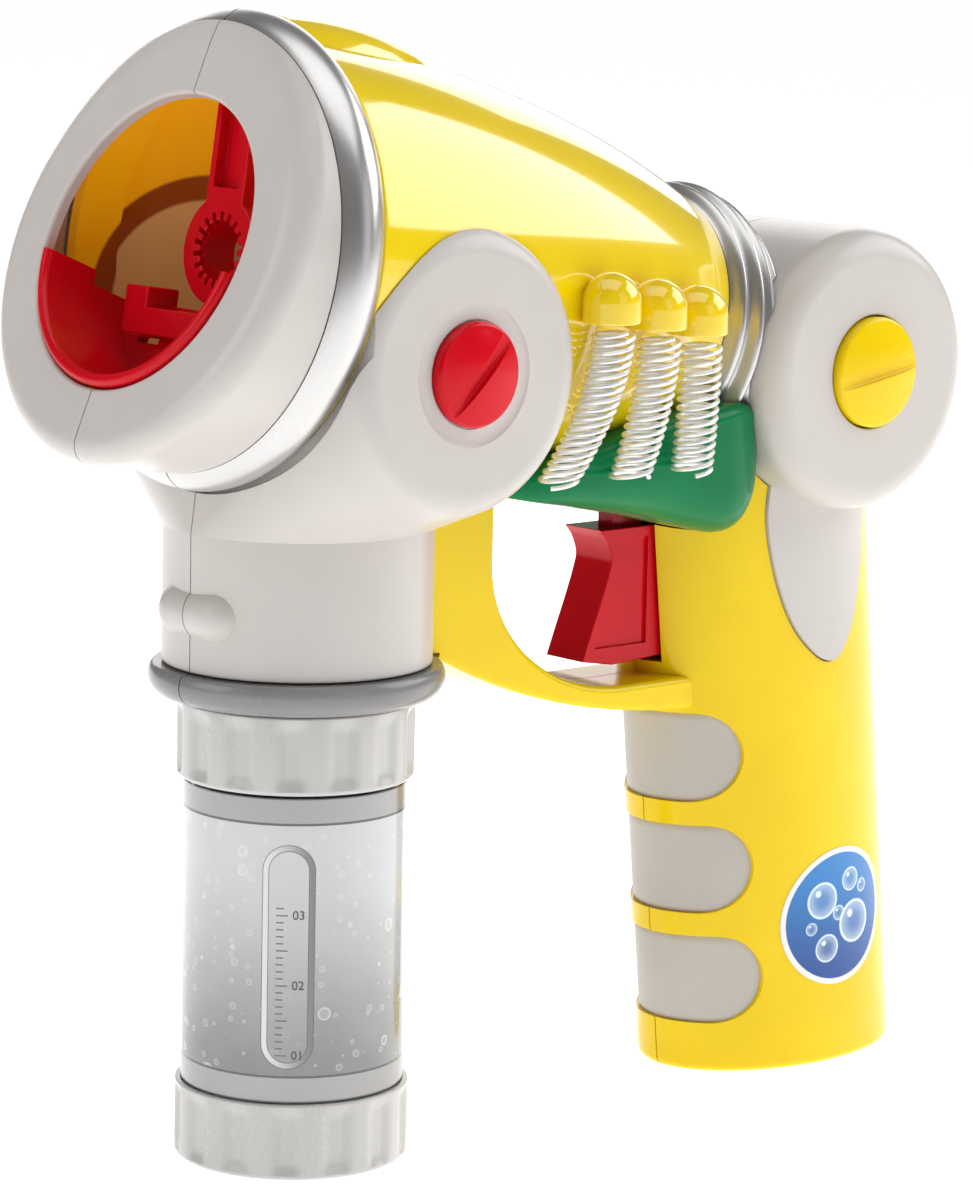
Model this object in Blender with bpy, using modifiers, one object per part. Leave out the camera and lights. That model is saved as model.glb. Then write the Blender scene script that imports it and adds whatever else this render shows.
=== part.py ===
"""Battery bubble gun in metres: muzzle towards -Y, +Z up, standing on its bottle and its grip."""

import math

import bmesh
import bpy
from mathutils import Matrix, Vector

TAU = 2.0 * math.pi

# Clearances
GAP = 0.0003             # between pieces that touch
SPLIT = 0.00015          # each moulded half stops this far from the middle plane
RUN = 0.0006             # around moving pieces
WALL = 0.0020            # moulded wall thickness

# Facets round a full turn
LARGE_TURN = 24
MEDIUM_TURN = 20
SMALL_TURN = 14
TINY_TURN = 10

# Barrel axis: it starts at the muzzle and falls towards the rear
AXIS_FRONT_Y = -0.0225
AXIS_FRONT_Z = 0.1527
AXIS_FALL = 8.5          # degrees

# Muzzle
BEZEL_RADIUS = 0.0362
BEZEL_EDGE = 0.0045      # rounding of the front edge
FACE_LEAN = 14.5         # degrees between the front face and the barrel's cross-section
FACE_STANDOFF = 0.0102   # front face ahead of the ring, on the axis
MOUTH_RADIUS = 0.0248
RING_LENGTH = 0.0084
RING_BEAD = 0.0026       # how far the ring stands out of the bezel
BEAD_POWER = 0.8         # below 1 the bead is fuller than a plain wave
RING_WALL = 0.0026       # from the bezel's outside in to the barrel's nose
SPIGOT_RADIUS = BEZEL_RADIUS - RING_WALL

# Barrel
BARREL_FRONT_RADIUS = 0.0362
BARREL_REAR_RADIUS = 0.0205
BARREL_LENGTH = 0.0920
BARREL_CURVE = 2.3       # exponent of the bullet-shaped taper
BARREL_FRONT = RING_LENGTH + 2.0 * GAP
BARREL_REAR = BARREL_FRONT + BARREL_LENGTH
HUMP_STATION = 0.0190    # middle of the raised top
HUMP_LENGTH = 0.0520
HUMP_WIDTH = 0.0260
HUMP_RISE = 0.0034
HUMP_DEPTH = 0.0090      # half height of the egg shape that makes it

# Springs on the barrel's sides, hung from domes
DOME_FIRST = BARREL_REAR - 0.0425    # along the axis
DOME_PITCH = 0.0132
DOME_COUNT = 3
DOME_RADIUS = 0.0049
DOME_SKIRT = 0.0034      # straight part below the round top
DOME_STANDOFF = 0.0036   # dome axis outside the barrel
SPRING_RADIUS = 0.0037   # outside
SPRING_WIRE = 0.0012     # diameter
SPRING_PITCH = 0.0029
SPRING_FOOT_Z = 0.1131
SPRING_FOOT_SHIFT = 0.0024   # each foot lies this far behind its dome
SPRING_BOW_POWER = 1.7   # exponent of the spring's inward curve
SPRING_POINTS = 8        # per curl

# Bellows neck
BELLOWS_RADIUS = 0.0222
BELLOWS_END_RADIUS = 0.0172
BELLOWS_DEPTH = 0.0018
BELLOWS_PITCH = 0.0043
BELLOWS_RIBS = 4
BELLOWS_BORE = 0.0125

# Socket and its two ears
SOCKET_RADIUS = 0.0224
SOCKET_FLARE_Z = 0.1083
EAR_RADIUS = 0.0235
EAR_STANDOFF = 0.0010    # ear face outside the barrel
EAR_FACE = BARREL_FRONT_RADIUS + EAR_STANDOFF
EAR_EDGE = 0.0045
EAR_Y = 0.0050
EAR_Z = 0.1343
EAR_KNOB_RADIUS = 0.0093
EAR_SEAT = 0.0006        # depth of the knob's seat in the ear
LUG_WIDTH = 0.0160
LUG_HEIGHT = 0.0088
LUG_RISE = 0.0022
LUG_Z = 0.0933
COLLAR_RING_TUBE = 0.0034
COLLAR_RING_RADIUS = 0.0212
COLLAR_RING_Z = 0.0813
KNOB_RISE = 0.0030
KNOB_SLOT = 0.0024

# Bottle
BOTTLE_RADIUS = 0.0185
BOTTLE_WALL = 0.0012
BASE_CUP_RADIUS = 0.0195
BASE_CUP_HEIGHT = 0.0128
BASE_CUP_EDGE = 0.0030
BOTTLE_SHOULDER_Z = 0.0641
CAP_RADIUS = 0.0197
CAP_HEIGHT = 0.0130
FLUTE_COUNT = 14
FLUTE_DEPTH = 0.0005
NECK_RADIUS = 0.0140
NECK_TOP_Z = 0.0913
SEAL_HEIGHT = 0.0016
INSERT_ROOF = 0.0030
DIP_TUBE_RADIUS = 0.0020
DIP_TUBE_FOOT_Z = 0.0060

# Rear housing: a drum across the gun with a tongue down each side of the grip
DRUM_BEHIND = 0.0296     # drum axis behind the barrel's end
DRUM_Y = AXIS_FRONT_Y + BARREL_REAR * math.cos(math.radians(AXIS_FALL)) + DRUM_BEHIND
DRUM_Z = 0.1273
DRUM_RADIUS = 0.0248
DRUM_FACE = 0.0270
DRUM_EDGE = 0.0050
REAR_KNOB_RADIUS = 0.0102
DRUM_SEAT = 0.0022
DISH_RADIUS = 0.0150
DISH_DEPTH = 0.0010
TONGUE_RISE = 0.0006
TONGUE_DEPTH = 0.0016

# Pod under the barrel
POD_CORNER = 0.0080
POD_LIP = 0.0015         # rounding of the upper edges
POD_FRONT_Y = 0.0300
POD_REAR_Y = DRUM_Y - 0.0160
# share of the way from front to rear, half width, underside, upper edge
POD_SHAPE = (
    (0.000, 0.0190, 0.1101, 0.1131), (0.098, 0.0218, 0.1089, 0.1153),
    (0.246, 0.0226, 0.1073, 0.1179), (0.492, 0.0230, 0.1043, 0.1209),
    (0.738, 0.0235, 0.1008, 0.1225), (0.885, 0.0228, 0.0998, 0.1235),
    (0.967, 0.0205, 0.1025, 0.1239), (1.000, 0.0170, 0.1083, 0.1241),
)
POD_SECTIONS = [(POD_FRONT_Y + share * (POD_REAR_Y - POD_FRONT_Y), half_width, low, high)
                for share, half_width, low, high in POD_SHAPE]

# Grip
GRIP_HALF_DEPTH = 0.0272
GRIP_HALF_WIDTH = 0.0176
GRIP_FOOT_Y = DRUM_Y + 0.0055
GRIP_LEAN = 0.1070       # forward shift of the section per unit of height
GRIP_TOP_Z = 0.1153
GRIP_WALL = 0.0036
GRIP_FLOOR = 0.0026
GRIP_FOOT_EDGE = 0.0015
PAD_HEIGHT = 0.0160
PAD_PITCH = 0.0205
PAD_LOW_Z = 0.0173       # middle of the lowest pad
PAD_REACH = 0.0130       # pad behind the grip's front line
PAD_STEP = 0.0008        # each higher pad reaches this much less far
PAD_SINK = 0.0007
PAD_THICK = 0.0013
GUARD_HALF_WIDTH = 0.0095
GUARD_START = (0.0190, 0.0848)     # lower line, as (Y, Z)
GUARD_PULL = (DRUM_Y - 0.0590, 0.0678)
GUARD_END = (DRUM_Y - 0.0210, 0.0673)
GUARD_TOP_Z = 0.1143
FINGER_Y = DRUM_Y - 0.0410          # middle of the finger gap
FINGER_Z = 0.0973
FINGER_HALF_LENGTH = 0.0310
FINGER_HALF_HEIGHT = 0.0240
# tongue on the grip's side, as (behind the drum's axis, Z)
TONGUE_LINE = ((-0.0145, 0.1093), (-0.0148, 0.1005), (-0.0122, 0.0900), (-0.0080, 0.0815),
               (-0.0025, 0.0760), (0.0020, 0.0746), (0.0055, 0.0772), (0.0088, 0.0840),
               (0.0112, 0.0950), (0.0120, 0.1093))
TONGUE_OUTLINE = [(DRUM_Y + behind, height) for behind, height in TONGUE_LINE]

# Trigger
TRIGGER_HALF_WIDTH = 0.0047
TRIGGER_TOP_Z = 0.0988
TRIGGER_FOOT_Z = 0.0773
TRIGGER_FRONT_Y = DRUM_Y - 0.0398
TRIGGER_HOOK = 0.0072    # how far the trigger's foot reaches ahead
TRIGGER_REAR_Y = DRUM_Y - 0.0190
TRIGGER_TRAVEL = 0.0080
TRIGGER_PANEL = 0.0006   # depth of the sunk sides
STOP_HALF_WIDTH = 0.0068 # block that holds the trigger behind the grip's wall
ARM_HALF_WIDTH = 0.0018  # arm inside the pod, from the trigger to the wiper lever
ARM_FRONT_Y = DRUM_Y - 0.0380
ARM_REAR_Y = DRUM_Y - 0.0310
ARM_LOW_Z = 0.1085
ARM_TOP_Z = 0.1113
TAB_LENGTH = 0.0100
RIB_Y = DRUM_Y - 0.0050  # rib behind the return spring
RIB_THICK = 0.0025
RIB_LOW_Z = 0.0778
RIB_HIGH_Z = 0.0953
RETURN_SPRING_Z = 0.0908
SWITCH_HALF_WIDTH = 0.0032
SWITCH_LENGTH = 0.0046
SWITCH_HEIGHT = 0.0060
PLUNGER_RADIUS = 0.0010
RETURN_SPRING_RADIUS = 0.0030
RETURN_SPRING_WIRE = 0.0006
RETURN_SPRING_TURNS = 5

# Wiper lever
WIPER_PIVOT = (BARREL_REAR - 0.0031, -0.0159)    # (along, up) in the barrel, as the line below
WIPER_LINE = (WIPER_PIVOT, (BARREL_REAR - 0.0290, -0.0172), (BARREL_REAR - 0.0430, -0.0272),
              (0.0235, -0.0280), (0.0205, -0.0140))
WIPER_BEND = WIPER_LINE[-1]        # here a cross bar leads to the front bar, beside the bubble ring
WIPER_ASIDE = 0.0125               # front bar from the middle plane
WIPER_NUB = (BARREL_REAR - 0.0170, -0.0230)      # foot of the nub that the trigger's arm lifts
WIPER_NUB_LENGTH = 0.0030
WIPER_BLADE = (-0.0008, 0.0022)    # along the axis
WIPER_BLADE_LOW = -0.0150
WIPER_BLADE_HIGH = -0.0105
WIPER_EYE_RADIUS = 0.0028
WIPER_SWING = 8.0        # degrees, over the trigger's whole travel
WIPER_BAR = 0.0036       # bar height
WIPER_HALF_WIDTH = 0.0022
WIPER_BLADE_HALF_WIDTH = 0.0085
WIPER_PIN_RADIUS = 0.0012

# Bubble ring and tray in the mouth
WAND_STATION = 0.0050    # ring behind the bezel's rear plane
WAND_RADIUS = 0.0090
WAND_BORE = 0.0058
WAND_THICK = 0.0030
WAND_NOTCHES = 18
WAND_ARM_HALF_WIDTH = 0.0048
WAND_ARM_DEPTH = 0.0070
TRAY_WALL = 0.0022
TRAY_PROUD = 0.0008
TRAY_DEPTH = 0.0190
TRAY_TOP = -0.0035       # front rim's height, from the mouth's middle
TRAY_BACK = -0.0060      # rear wall's height
TRAY_NOTCH = -0.0126     # foot of the lever's notch in the rear wall
WAND_NOTCH = 0.0007
WAND_HOSE_UP = 0.0260

# Air path and drive, by stations along the barrel axis
DUCT_STATION = 0.0300
DUCT_THICK = 0.0020
DUCT_BORE = 0.0150
FAN_STATION = BARREL_REAR - 0.0580
FAN_RADIUS = 0.0142
FAN_LENGTH = 0.0080
SHROUD_END = FAN_STATION + FAN_LENGTH + 0.0010
FAN_HUB_RADIUS = 0.0042
FAN_BLADES = 6
BLADE_PITCH = 38.0       # degrees
BLADE_THICK = 0.0009
MOTOR_STATION = BARREL_REAR - 0.0470
MOTOR_LENGTH = 0.0250
MOTOR_RADIUS = 0.0100
MOTOR_FLAT = 0.0077
SHAFT_RADIUS = 0.0010
PLATE_THICK = 0.0020
GEAR_MODULE = 0.0007
PINION_TEETH = 10
WHEEL_TEETH = 18
GEAR_BACKLASH = 0.0003   # added to the distance between gear axes
GEAR_WIDTH = 0.0030
GEAR_SPACE = 0.0010      # between gears that lie behind each other
ROTOR_ORBIT = 0.0048
ROLLER_RADIUS = 0.0018
ROLLER_COUNT = 3
HOSE_RADIUS = 0.0017
HOSE_RISE = (0.0040, 0.0060)       # first bend above the bottle, as (X, Y)
HOSE_BEHIND_DUCT = 0.0080          # along the barrel
HOSE_SIDE = 0.0080                 # across, where it passes the duct
# (up, across) where the hose passes the motor and the plate, on its way to the pump and back
HOSE_TO_PUMP = ((-0.0245, 0.0100), (-0.0190, 0.0105))
HOSE_PUMP_DOOR = ((-0.0040, -0.0150, 0.0095), (0.0, -0.0105, 0.0083))
HOSE_PUMP_EXIT = (-0.0020, -0.0085, -0.0125)
HOSE_FROM_PUMP = ((-0.0040, -0.0190), (0.0060, -0.0220), (0.0180, -0.0180), (0.0240, -0.0080))
PUMP_RADIUS = 0.0125
PUMP_WALL = 0.0012
PUMP_FLAT = -0.0125      # the pump plate ends here, above the wiper pin
AXLE_RADIUS = 0.0012
AXLE_RUN = 0.0002

# Batteries
CELL_RADIUS = 0.00725
CELL_LENGTH = 0.0495
CELL_PITCH = 0.0152
CONTACT_THICK = 0.0008
DOOR_HALF_WIDTH = 0.0125
DOOR_HEIGHT = 0.0560
DOOR_LOW_Z = 0.0070
DOOR_THICK = 0.0024

# Worked out from the sizes above
PLATE_STATION = MOTOR_STATION + MOTOR_LENGTH + GAP
FIRST_GEAR = PLATE_STATION + PLATE_THICK + GEAR_SPACE
SECOND_GEAR = FIRST_GEAR + GEAR_WIDTH + GEAR_SPACE
ROTOR_STATION = SECOND_GEAR + GEAR_WIDTH
GEAR_DISTANCE = 0.5 * GEAR_MODULE * (PINION_TEETH + WHEEL_TEETH) + GEAR_BACKLASH
INSERT_TOP_Z = NECK_TOP_Z + 2.0 * GAP + SEAL_HEIGHT + INSERT_ROOF
SOCKET_FOOT_Z = COLLAR_RING_Z + 0.6 * COLLAR_RING_TUBE + GAP
HOSE_CIRCLE = ROTOR_ORBIT + ROLLER_RADIUS + 2.5 * GAP + HOSE_RADIUS
SPRING_STANDOFF = SPRING_RADIUS + 2.0 * GAP
ROTOR_LENGTH = 2.0 * HOSE_RADIUS + RUN
PUMP_STATION = ROTOR_STATION + ROTOR_LENGTH + RUN
GRIP_TILT = math.atan(GRIP_LEAN)
CONTACT_FOOT_Z = GRIP_FLOOR + GAP + CELL_PITCH * math.sin(GRIP_TILT)
CELL_FOOT_Z = CONTACT_FOOT_Z + CONTACT_THICK + GAP

# Frames: the barrel's Z runs rearwards and its Y down, the face's Z runs into the mouth,
# and the side frame lays a flat outline out as (Y, Z) and extrudes it along X
BARREL = (Matrix.Translation((0.0, AXIS_FRONT_Y, AXIS_FRONT_Z))
          @ Matrix.Rotation(math.radians(-90.0 - AXIS_FALL), 4, "X"))
FACE = (Matrix.Translation(BARREL @ Vector((0.0, 0.0, -FACE_STANDOFF)))
        @ Matrix.Rotation(math.radians(-90.0 - AXIS_FALL - FACE_LEAN), 4, "X"))
SIDE = Matrix(((0, 0, 1, 0), (1, 0, 0, 0), (0, 1, 0, 0), (0, 0, 0, 1)))
UPRIGHT = Matrix.Identity(4)
LEFT = 1
RIGHT = -1
SIDE_NAMES = {LEFT: "left", RIGHT: "right"}
REACH = 0.3              # half size of the boxes that cut whole sides away


def clear_scene():
    for obj in list(bpy.data.objects):
        bpy.data.objects.remove(obj, do_unlink=True)


def new_collection(name):
    collection = bpy.data.collections.new(name)
    bpy.context.scene.collection.children.link(collection)
    return collection


def material(name, colour, roughness, metallic=0.0, alpha=1.0):
    made = bpy.data.materials.new(name)
    made.use_nodes = True
    shader = made.node_tree.nodes["Principled BSDF"]
    shader.inputs["Base Color"].default_value = (*colour, 1.0)
    shader.inputs["Roughness"].default_value = roughness
    shader.inputs["Metallic"].default_value = metallic
    shader.inputs["Alpha"].default_value = alpha
    return made


clear_scene()
PARTS = new_collection("bubble_gun")
CUTTERS = new_collection("cutters")
WHITE = material("white_plastic", (0.78, 0.75, 0.73), 0.35)
YELLOW = material("yellow_plastic", (0.95, 0.78, 0.01), 0.25)
RED = material("red_plastic", (0.72, 0.01, 0.04), 0.25)
GREEN = material("green_plastic", (0.0, 0.35, 0.16), 0.3)
SILVER = material("silver_paint", (0.7, 0.7, 0.71), 0.3, 0.9)
GREY = material("grey_plastic", (0.45, 0.46, 0.47), 0.35)
CLEAR = material("clear_bottle", (0.85, 0.87, 0.88), 0.1, 0.0, 0.4)
STEEL = material("steel", (0.75, 0.75, 0.76), 0.25, 1.0)
RUBBER = material("rubber", (0.05, 0.05, 0.05), 0.7)
HOSE = material("silicone_hose", (0.8, 0.8, 0.78), 0.4)
NYLON = material("white_gear_nylon", (0.85, 0.84, 0.8), 0.45)
CELL = material("battery_wrap", (0.12, 0.13, 0.15), 0.3)


def add(name, mesh, look=None, frame=UPRIGHT):
    """Put a mesh in the scene: a part when it has a material, else a hidden cutter."""
    obj = bpy.data.objects.new(name, mesh)
    obj.matrix_world = frame
    if look is None:
        CUTTERS.objects.link(obj)
        obj.display_type = "WIRE"
        obj.hide_render = True
    else:
        PARTS.objects.link(obj)
        own = look.copy()
        own.name = name + "_" + look.name
        mesh.materials.append(own)
    return obj


def clean_mesh(mesh):
    """Weld a mesh, turn its faces outwards and smooth all but its sharp edges."""
    work = bmesh.new()
    work.from_mesh(mesh)
    bmesh.ops.remove_doubles(work, verts=work.verts, dist=1e-7)
    bmesh.ops.dissolve_degenerate(work, edges=work.edges, dist=1e-8)
    bmesh.ops.recalc_face_normals(work, faces=work.faces)
    work.to_mesh(mesh)
    work.free()
    mesh.shade_smooth()
    mesh.set_sharp_from_angle(angle=math.radians(35.0))
    return mesh


def as_mesh(name, obj):
    """Evaluate a helper object to a clean mesh and remove the helper."""
    bpy.context.scene.collection.objects.link(obj)
    bpy.context.view_layer.update()
    graph = bpy.context.evaluated_depsgraph_get()
    mesh = bpy.data.meshes.new_from_object(obj.evaluated_get(graph))
    mesh.name = name
    bpy.data.objects.remove(obj, do_unlink=True)
    return clean_mesh(mesh)


def turned(name, profile, look=None, frame=UPRIGHT, steps=MEDIUM_TURN, ring=False):
    """Turn (radius, height) points about Z; a ring's profile is a closed loop off the axis."""
    count = len(profile)
    edges = [(i, i + 1) for i in range(count - 1)]
    if ring:
        edges.append((count - 1, 0))
    line = bpy.data.meshes.new(name + "_profile")
    line.from_pydata([(r, 0.0, z) for r, z in profile], edges, [])
    helper = bpy.data.objects.new(name + "_turn", line)
    screw = helper.modifiers.new("turn", "SCREW")
    screw.angle = TAU
    screw.steps = steps
    screw.render_steps = steps
    screw.use_merge_vertices = True
    screw.merge_threshold = 1e-6
    return add(name, as_mesh(name, helper), look, frame)


def extruded(name, outline, low, high, look=None, frame=SIDE):
    """A flat outline, thickened from low to high along the frame's Z."""
    curve = bpy.data.curves.new(name + "_outline", "CURVE")
    curve.dimensions = "2D"
    curve.fill_mode = "BOTH"
    curve.extrude = 0.5 * (high - low)
    spline = curve.splines.new("POLY")
    spline.points.add(len(outline) - 1)
    for point, (u, v) in zip(spline.points, outline):
        point.co = (u, v, 0.0, 1.0)
    spline.use_cyclic_u = True
    helper = bpy.data.objects.new(name + "_extrude", curve)
    mesh = as_mesh(name, helper)
    mesh.transform(Matrix.Translation((0.0, 0.0, 0.5 * (low + high))))
    return add(name, mesh, look, frame)


def tube(name, points, radius, resolution, look=None):
    """A round wire or hose through the points, with flat caps."""
    curve = bpy.data.curves.new(name + "_path", "CURVE")
    curve.dimensions = "3D"
    curve.bevel_depth = radius
    curve.bevel_resolution = resolution
    curve.use_fill_caps = True
    spline = curve.splines.new("POLY")
    spline.points.add(len(points) - 1)
    for point, place in zip(spline.points, points):
        point.co = (*place, 1.0)
    return add(name, as_mesh(name, bpy.data.objects.new(name + "_tube", curve)), look)


def from_bmesh(name, work, look=None, frame=UPRIGHT):
    mesh = bpy.data.meshes.new(name)
    work.to_mesh(mesh)
    work.free()
    return add(name, clean_mesh(mesh), look, frame)


def cylinder(name, radius, low, high, look=None, frame=UPRIGHT, segments=MEDIUM_TURN):
    work = bmesh.new()
    middle = Matrix.Translation((0.0, 0.0, 0.5 * (low + high)))
    bmesh.ops.create_cone(work, cap_ends=True, segments=segments, radius1=radius, radius2=radius,
                          depth=high - low, matrix=middle)
    return from_bmesh(name, work, look, frame)


def box(name, low, high, look=None, frame=UPRIGHT):
    work = bmesh.new()
    low = Vector(low)
    high = Vector(high)
    size = high - low
    place = Matrix.Translation(0.5 * (low + high)) @ Matrix.Diagonal((*size, 1.0))
    bmesh.ops.create_cube(work, size=1.0, matrix=place)
    return from_bmesh(name, work, look, frame)


def loft(name, rings, look=None):
    """Skin a row of closed sections that all have the same number of points."""
    work = bmesh.new()
    rows = [[work.verts.new(point) for point in ring] for ring in rings]
    count = len(rows[0])
    for row, following in zip(rows, rows[1:]):
        for i in range(count):
            j = (i + 1) % count
            work.faces.new((row[i], row[j], following[j], following[i]))
    work.faces.new(rows[0])
    work.faces.new(rows[-1])
    return from_bmesh(name, work, look)


def hull(name, points):
    work = bmesh.new()
    verts = [work.verts.new(point) for point in points]
    bmesh.ops.convex_hull(work, input=verts)
    loose = [vert for vert in work.verts if not vert.link_faces]
    bmesh.ops.delete(work, geom=loose, context="VERTS")
    return from_bmesh(name, work)


def boolean(obj, other, operation):
    change = obj.modifiers.new(other.name, "BOOLEAN")
    change.operation = operation
    change.object = other
    change.solver = "EXACT"
    return obj


def cut(obj, *others):
    for other in others:
        boolean(obj, other, "DIFFERENCE")
    return obj


def join(obj, *others):
    for other in others:
        boolean(obj, other, "UNION")
    return obj


def keep(obj, other):
    return boolean(obj, other, "INTERSECT")


def arc(centre, radius, start, end, count):
    """Points on an arc, angles in degrees."""
    turns = [math.radians(start + (end - start) * i / count) for i in range(count + 1)]
    return [(centre[0] + radius * math.cos(a), centre[1] + radius * math.sin(a)) for a in turns]


def bow(start, control, end, count):
    """Points on a quadratic curve between two points, pulled towards a third."""
    points = []
    for i in range(count + 1):
        t = i / count
        a, b, c = (1.0 - t) ** 2, 2.0 * t * (1.0 - t), t * t
        points.append(tuple(a * p + b * q + c * r for p, q, r in zip(start, control, end)))
    return points


def smooth_path(points, per_span):
    """A smooth curve through hand-chosen points."""
    knots = [Vector(p) for p in points]
    knots = [2.0 * knots[0] - knots[1]] + knots + [2.0 * knots[-1] - knots[-2]]
    path = []
    for a, b, c, d in zip(knots, knots[1:], knots[2:], knots[3:]):
        for i in range(per_span):
            t = i / per_span
            path.append(0.5 * (2.0 * b + (c - a) * t + (2.0 * a - 5.0 * b + 4.0 * c - d) * t * t
                               + (3.0 * b - 3.0 * c + d - a) * t ** 3))
    path.append(knots[-2])
    return path


def station(along, up=0.0, across=0.0):
    """World place of a point given in the barrel's own directions."""
    return BARREL @ Vector((across, -up, along))


def in_side_view(along, up):
    place = station(along, up)
    return (place.y, place.z)


def barrel_radius(along):
    share = min(max((along - BARREL_FRONT) / BARREL_LENGTH, 0.0), 1.0)
    return BARREL_FRONT_RADIUS - (BARREL_FRONT_RADIUS - BARREL_REAR_RADIUS) * share ** BARREL_CURVE


def barrel_inside(along):
    """Largest radius that fits inside the barrel's flat facets."""
    return (barrel_radius(along) - WALL) * math.cos(math.pi / LARGE_TURN) - 2.0 * GAP


def barrel_line(offset, start, end, count=5):
    """Points along the barrel's outside, moved outwards by the offset."""
    places = [start + (end - start) * i / count for i in range(count + 1)]
    return [(barrel_radius(s) + offset, s) for s in places]


def half_box(side):
    low = SPLIT if side == LEFT else -REACH
    high = REACH if side == LEFT else -SPLIT
    return box("half_" + SIDE_NAMES[side], (low, -REACH, -REACH), (high, REACH, REACH))


def across(side):
    """A frame whose Z points outwards across the gun."""
    return Matrix.Rotation(side * 0.5 * math.pi, 4, "Y")


def grip_section(offset, height, count=MEDIUM_TURN):
    middle = GRIP_FOOT_Y - GRIP_LEAN * height
    ring = []
    for i in range(count):
        turn = TAU * i / count
        ring.append((math.cos(turn) * (GRIP_HALF_WIDTH + offset),
                     middle + math.sin(turn) * (GRIP_HALF_DEPTH + offset), height))
    return ring


def grip_front(height):
    return GRIP_FOOT_Y - GRIP_LEAN * height - GRIP_HALF_DEPTH


def grip_body(name, offset, low, high, edge=0.0):
    rings = [grip_section(offset, low + edge), grip_section(offset, high)]
    if edge:
        rings.insert(0, grip_section(offset - edge, low))
    return loft(name, rings)


def pod_ring(section, offset):
    """One rounded section of the pod."""
    y, half_width, low, high = section
    half_width += offset
    low -= offset
    high += offset
    corner = min(POD_CORNER, 0.45 * (high - low))
    lip = min(POD_LIP, 0.3 * (high - low))
    outline = (arc((half_width - corner, low + corner), corner, -90.0, 0.0, 5)
               + arc((half_width - lip, high - lip), lip, 0.0, 90.0, 2))
    outline += [(-x, z) for x, z in reversed(outline)]
    return [(x, y, z) for x, z in outline]


def pod_body(name, offset):
    rings = [pod_ring(section, offset) for section in POD_SECTIONS]
    rings[0] = [(x, y - offset, z) for x, y, z in rings[0]]
    rings[-1] = [(x, y + offset, z) for x, y, z in rings[-1]]
    return loft(name, rings)


def pod_half_width(y):
    for near, far in zip(POD_SECTIONS, POD_SECTIONS[1:]):
        if y <= far[0]:
            share = (y - near[0]) / (far[0] - near[0])
            return near[1] + share * (far[1] - near[1])
    return POD_SECTIONS[-1][1]


def yoke_body(name, offset, flare=22, around=MEDIUM_TURN):
    """The socket's upper part: both ears joined to the round socket by one skin."""
    points = []
    for i in range(flare):
        turn = TAU * i / flare
        radius = SOCKET_RADIUS + offset - SPLIT
        points.append((radius * math.cos(turn), radius * math.sin(turn), SOCKET_FLARE_Z - offset - WALL))
    rim = [(EAR_FACE + x + offset, EAR_RADIUS + r + offset)
           for r, x in arc((-EAR_EDGE, -EAR_EDGE), EAR_EDGE, 0.0, 90.0, 3)]
    for x, radius in rim:
        for i in range(around):
            turn = TAU * i / around
            y = EAR_Y + radius * math.cos(turn)
            z = EAR_Z + radius * math.sin(turn)
            points.append((x, y, z))
            points.append((-x, y, z))
    return hull(name, points)


def barrel_body(name, offset, start, end):
    line = [(0.0, start)] + barrel_line(offset, start, end) + [(0.0, end)]
    return turned(name, line, None, BARREL, LARGE_TURN)


def hose_route():
    """The one hose: from the dip tube, along the barrel, round the pump, up to the bubble ring."""
    foot = INSERT_TOP_Z + 2.0 * DIP_TUBE_RADIUS + GAP
    lie = ROTOR_STATION + 0.5 * ROTOR_LENGTH
    straight = 2.5 * HOSE_RADIUS
    low_side = barrel_radius(DUCT_STATION) - WALL - 4.0 * HOSE_RADIUS
    knots = [Vector((0.0, 0.0, foot + step * straight)) for step in (0, 1, 2)]
    knots += [Vector((*HOSE_RISE, foot + 4.0 * straight)),
              station(DUCT_STATION + HOSE_BEHIND_DUCT, -low_side, HOSE_SIDE)]
    knots += [station(along, *place) for along, place in zip((MOTOR_STATION, PLATE_STATION), HOSE_TO_PUMP)]
    knots += [station(lie + along, up, aside) for along, up, aside in HOSE_PUMP_DOOR]
    for degrees in range(-30, 211, 30):
        turn = math.radians(degrees)
        knots.append(station(lie, HOSE_CIRCLE * math.sin(turn), HOSE_CIRCLE * math.cos(turn)))
    wand_end = WAND_STATION + WAND_ARM_DEPTH + GAP
    knots.append(station(lie + HOSE_PUMP_EXIT[0], *HOSE_PUMP_EXIT[1:]))
    back = (PLATE_STATION, MOTOR_STATION, DUCT_STATION, wand_end + 3.5 * straight)
    knots += [station(along, *place) for along, place in zip(back, HOSE_FROM_PUMP)]
    knots += [station(wand_end + step * straight, WAND_HOSE_UP) for step in (2, 1, 0)]
    return smooth_path(knots, 2)


def strip(points, half):
    """Outline of a bar of even width along a bent line."""
    line = [Vector(p) for p in points]
    upper = []
    lower = []
    for i, place in enumerate(line):
        before = (place - line[i - 1]).normalized() if i else None
        after = (line[i + 1] - place).normalized() if i + 1 < len(line) else None
        first = before or after
        second = after or before
        middle = (first + second).normalized()
        sideways = Vector((-middle.y, middle.x)) * (half / max(middle.dot(first), 0.5))
        upper.append(tuple(place + sideways))
        lower.append(tuple(place - sideways))
    return upper + lower[::-1]


def gear_outline(teeth, first):
    """Plain gear teeth with the first tooth at an angle in degrees."""
    root = GEAR_MODULE * (0.5 * teeth - 1.15)
    tip = GEAR_MODULE * (0.5 * teeth + 0.85)
    outline = []
    for i in range(teeth):
        for radius, share in ((root, -0.30), (tip, -0.14), (tip, 0.14), (root, 0.30)):
            turn = math.radians(first) + TAU * (i + share) / teeth
            outline.append((radius * math.cos(turn), radius * math.sin(turn)))
    return outline


def moved(frame, x=0.0, y=0.0, z=0.0):
    return frame @ Matrix.Translation((x, y, z))


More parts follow.
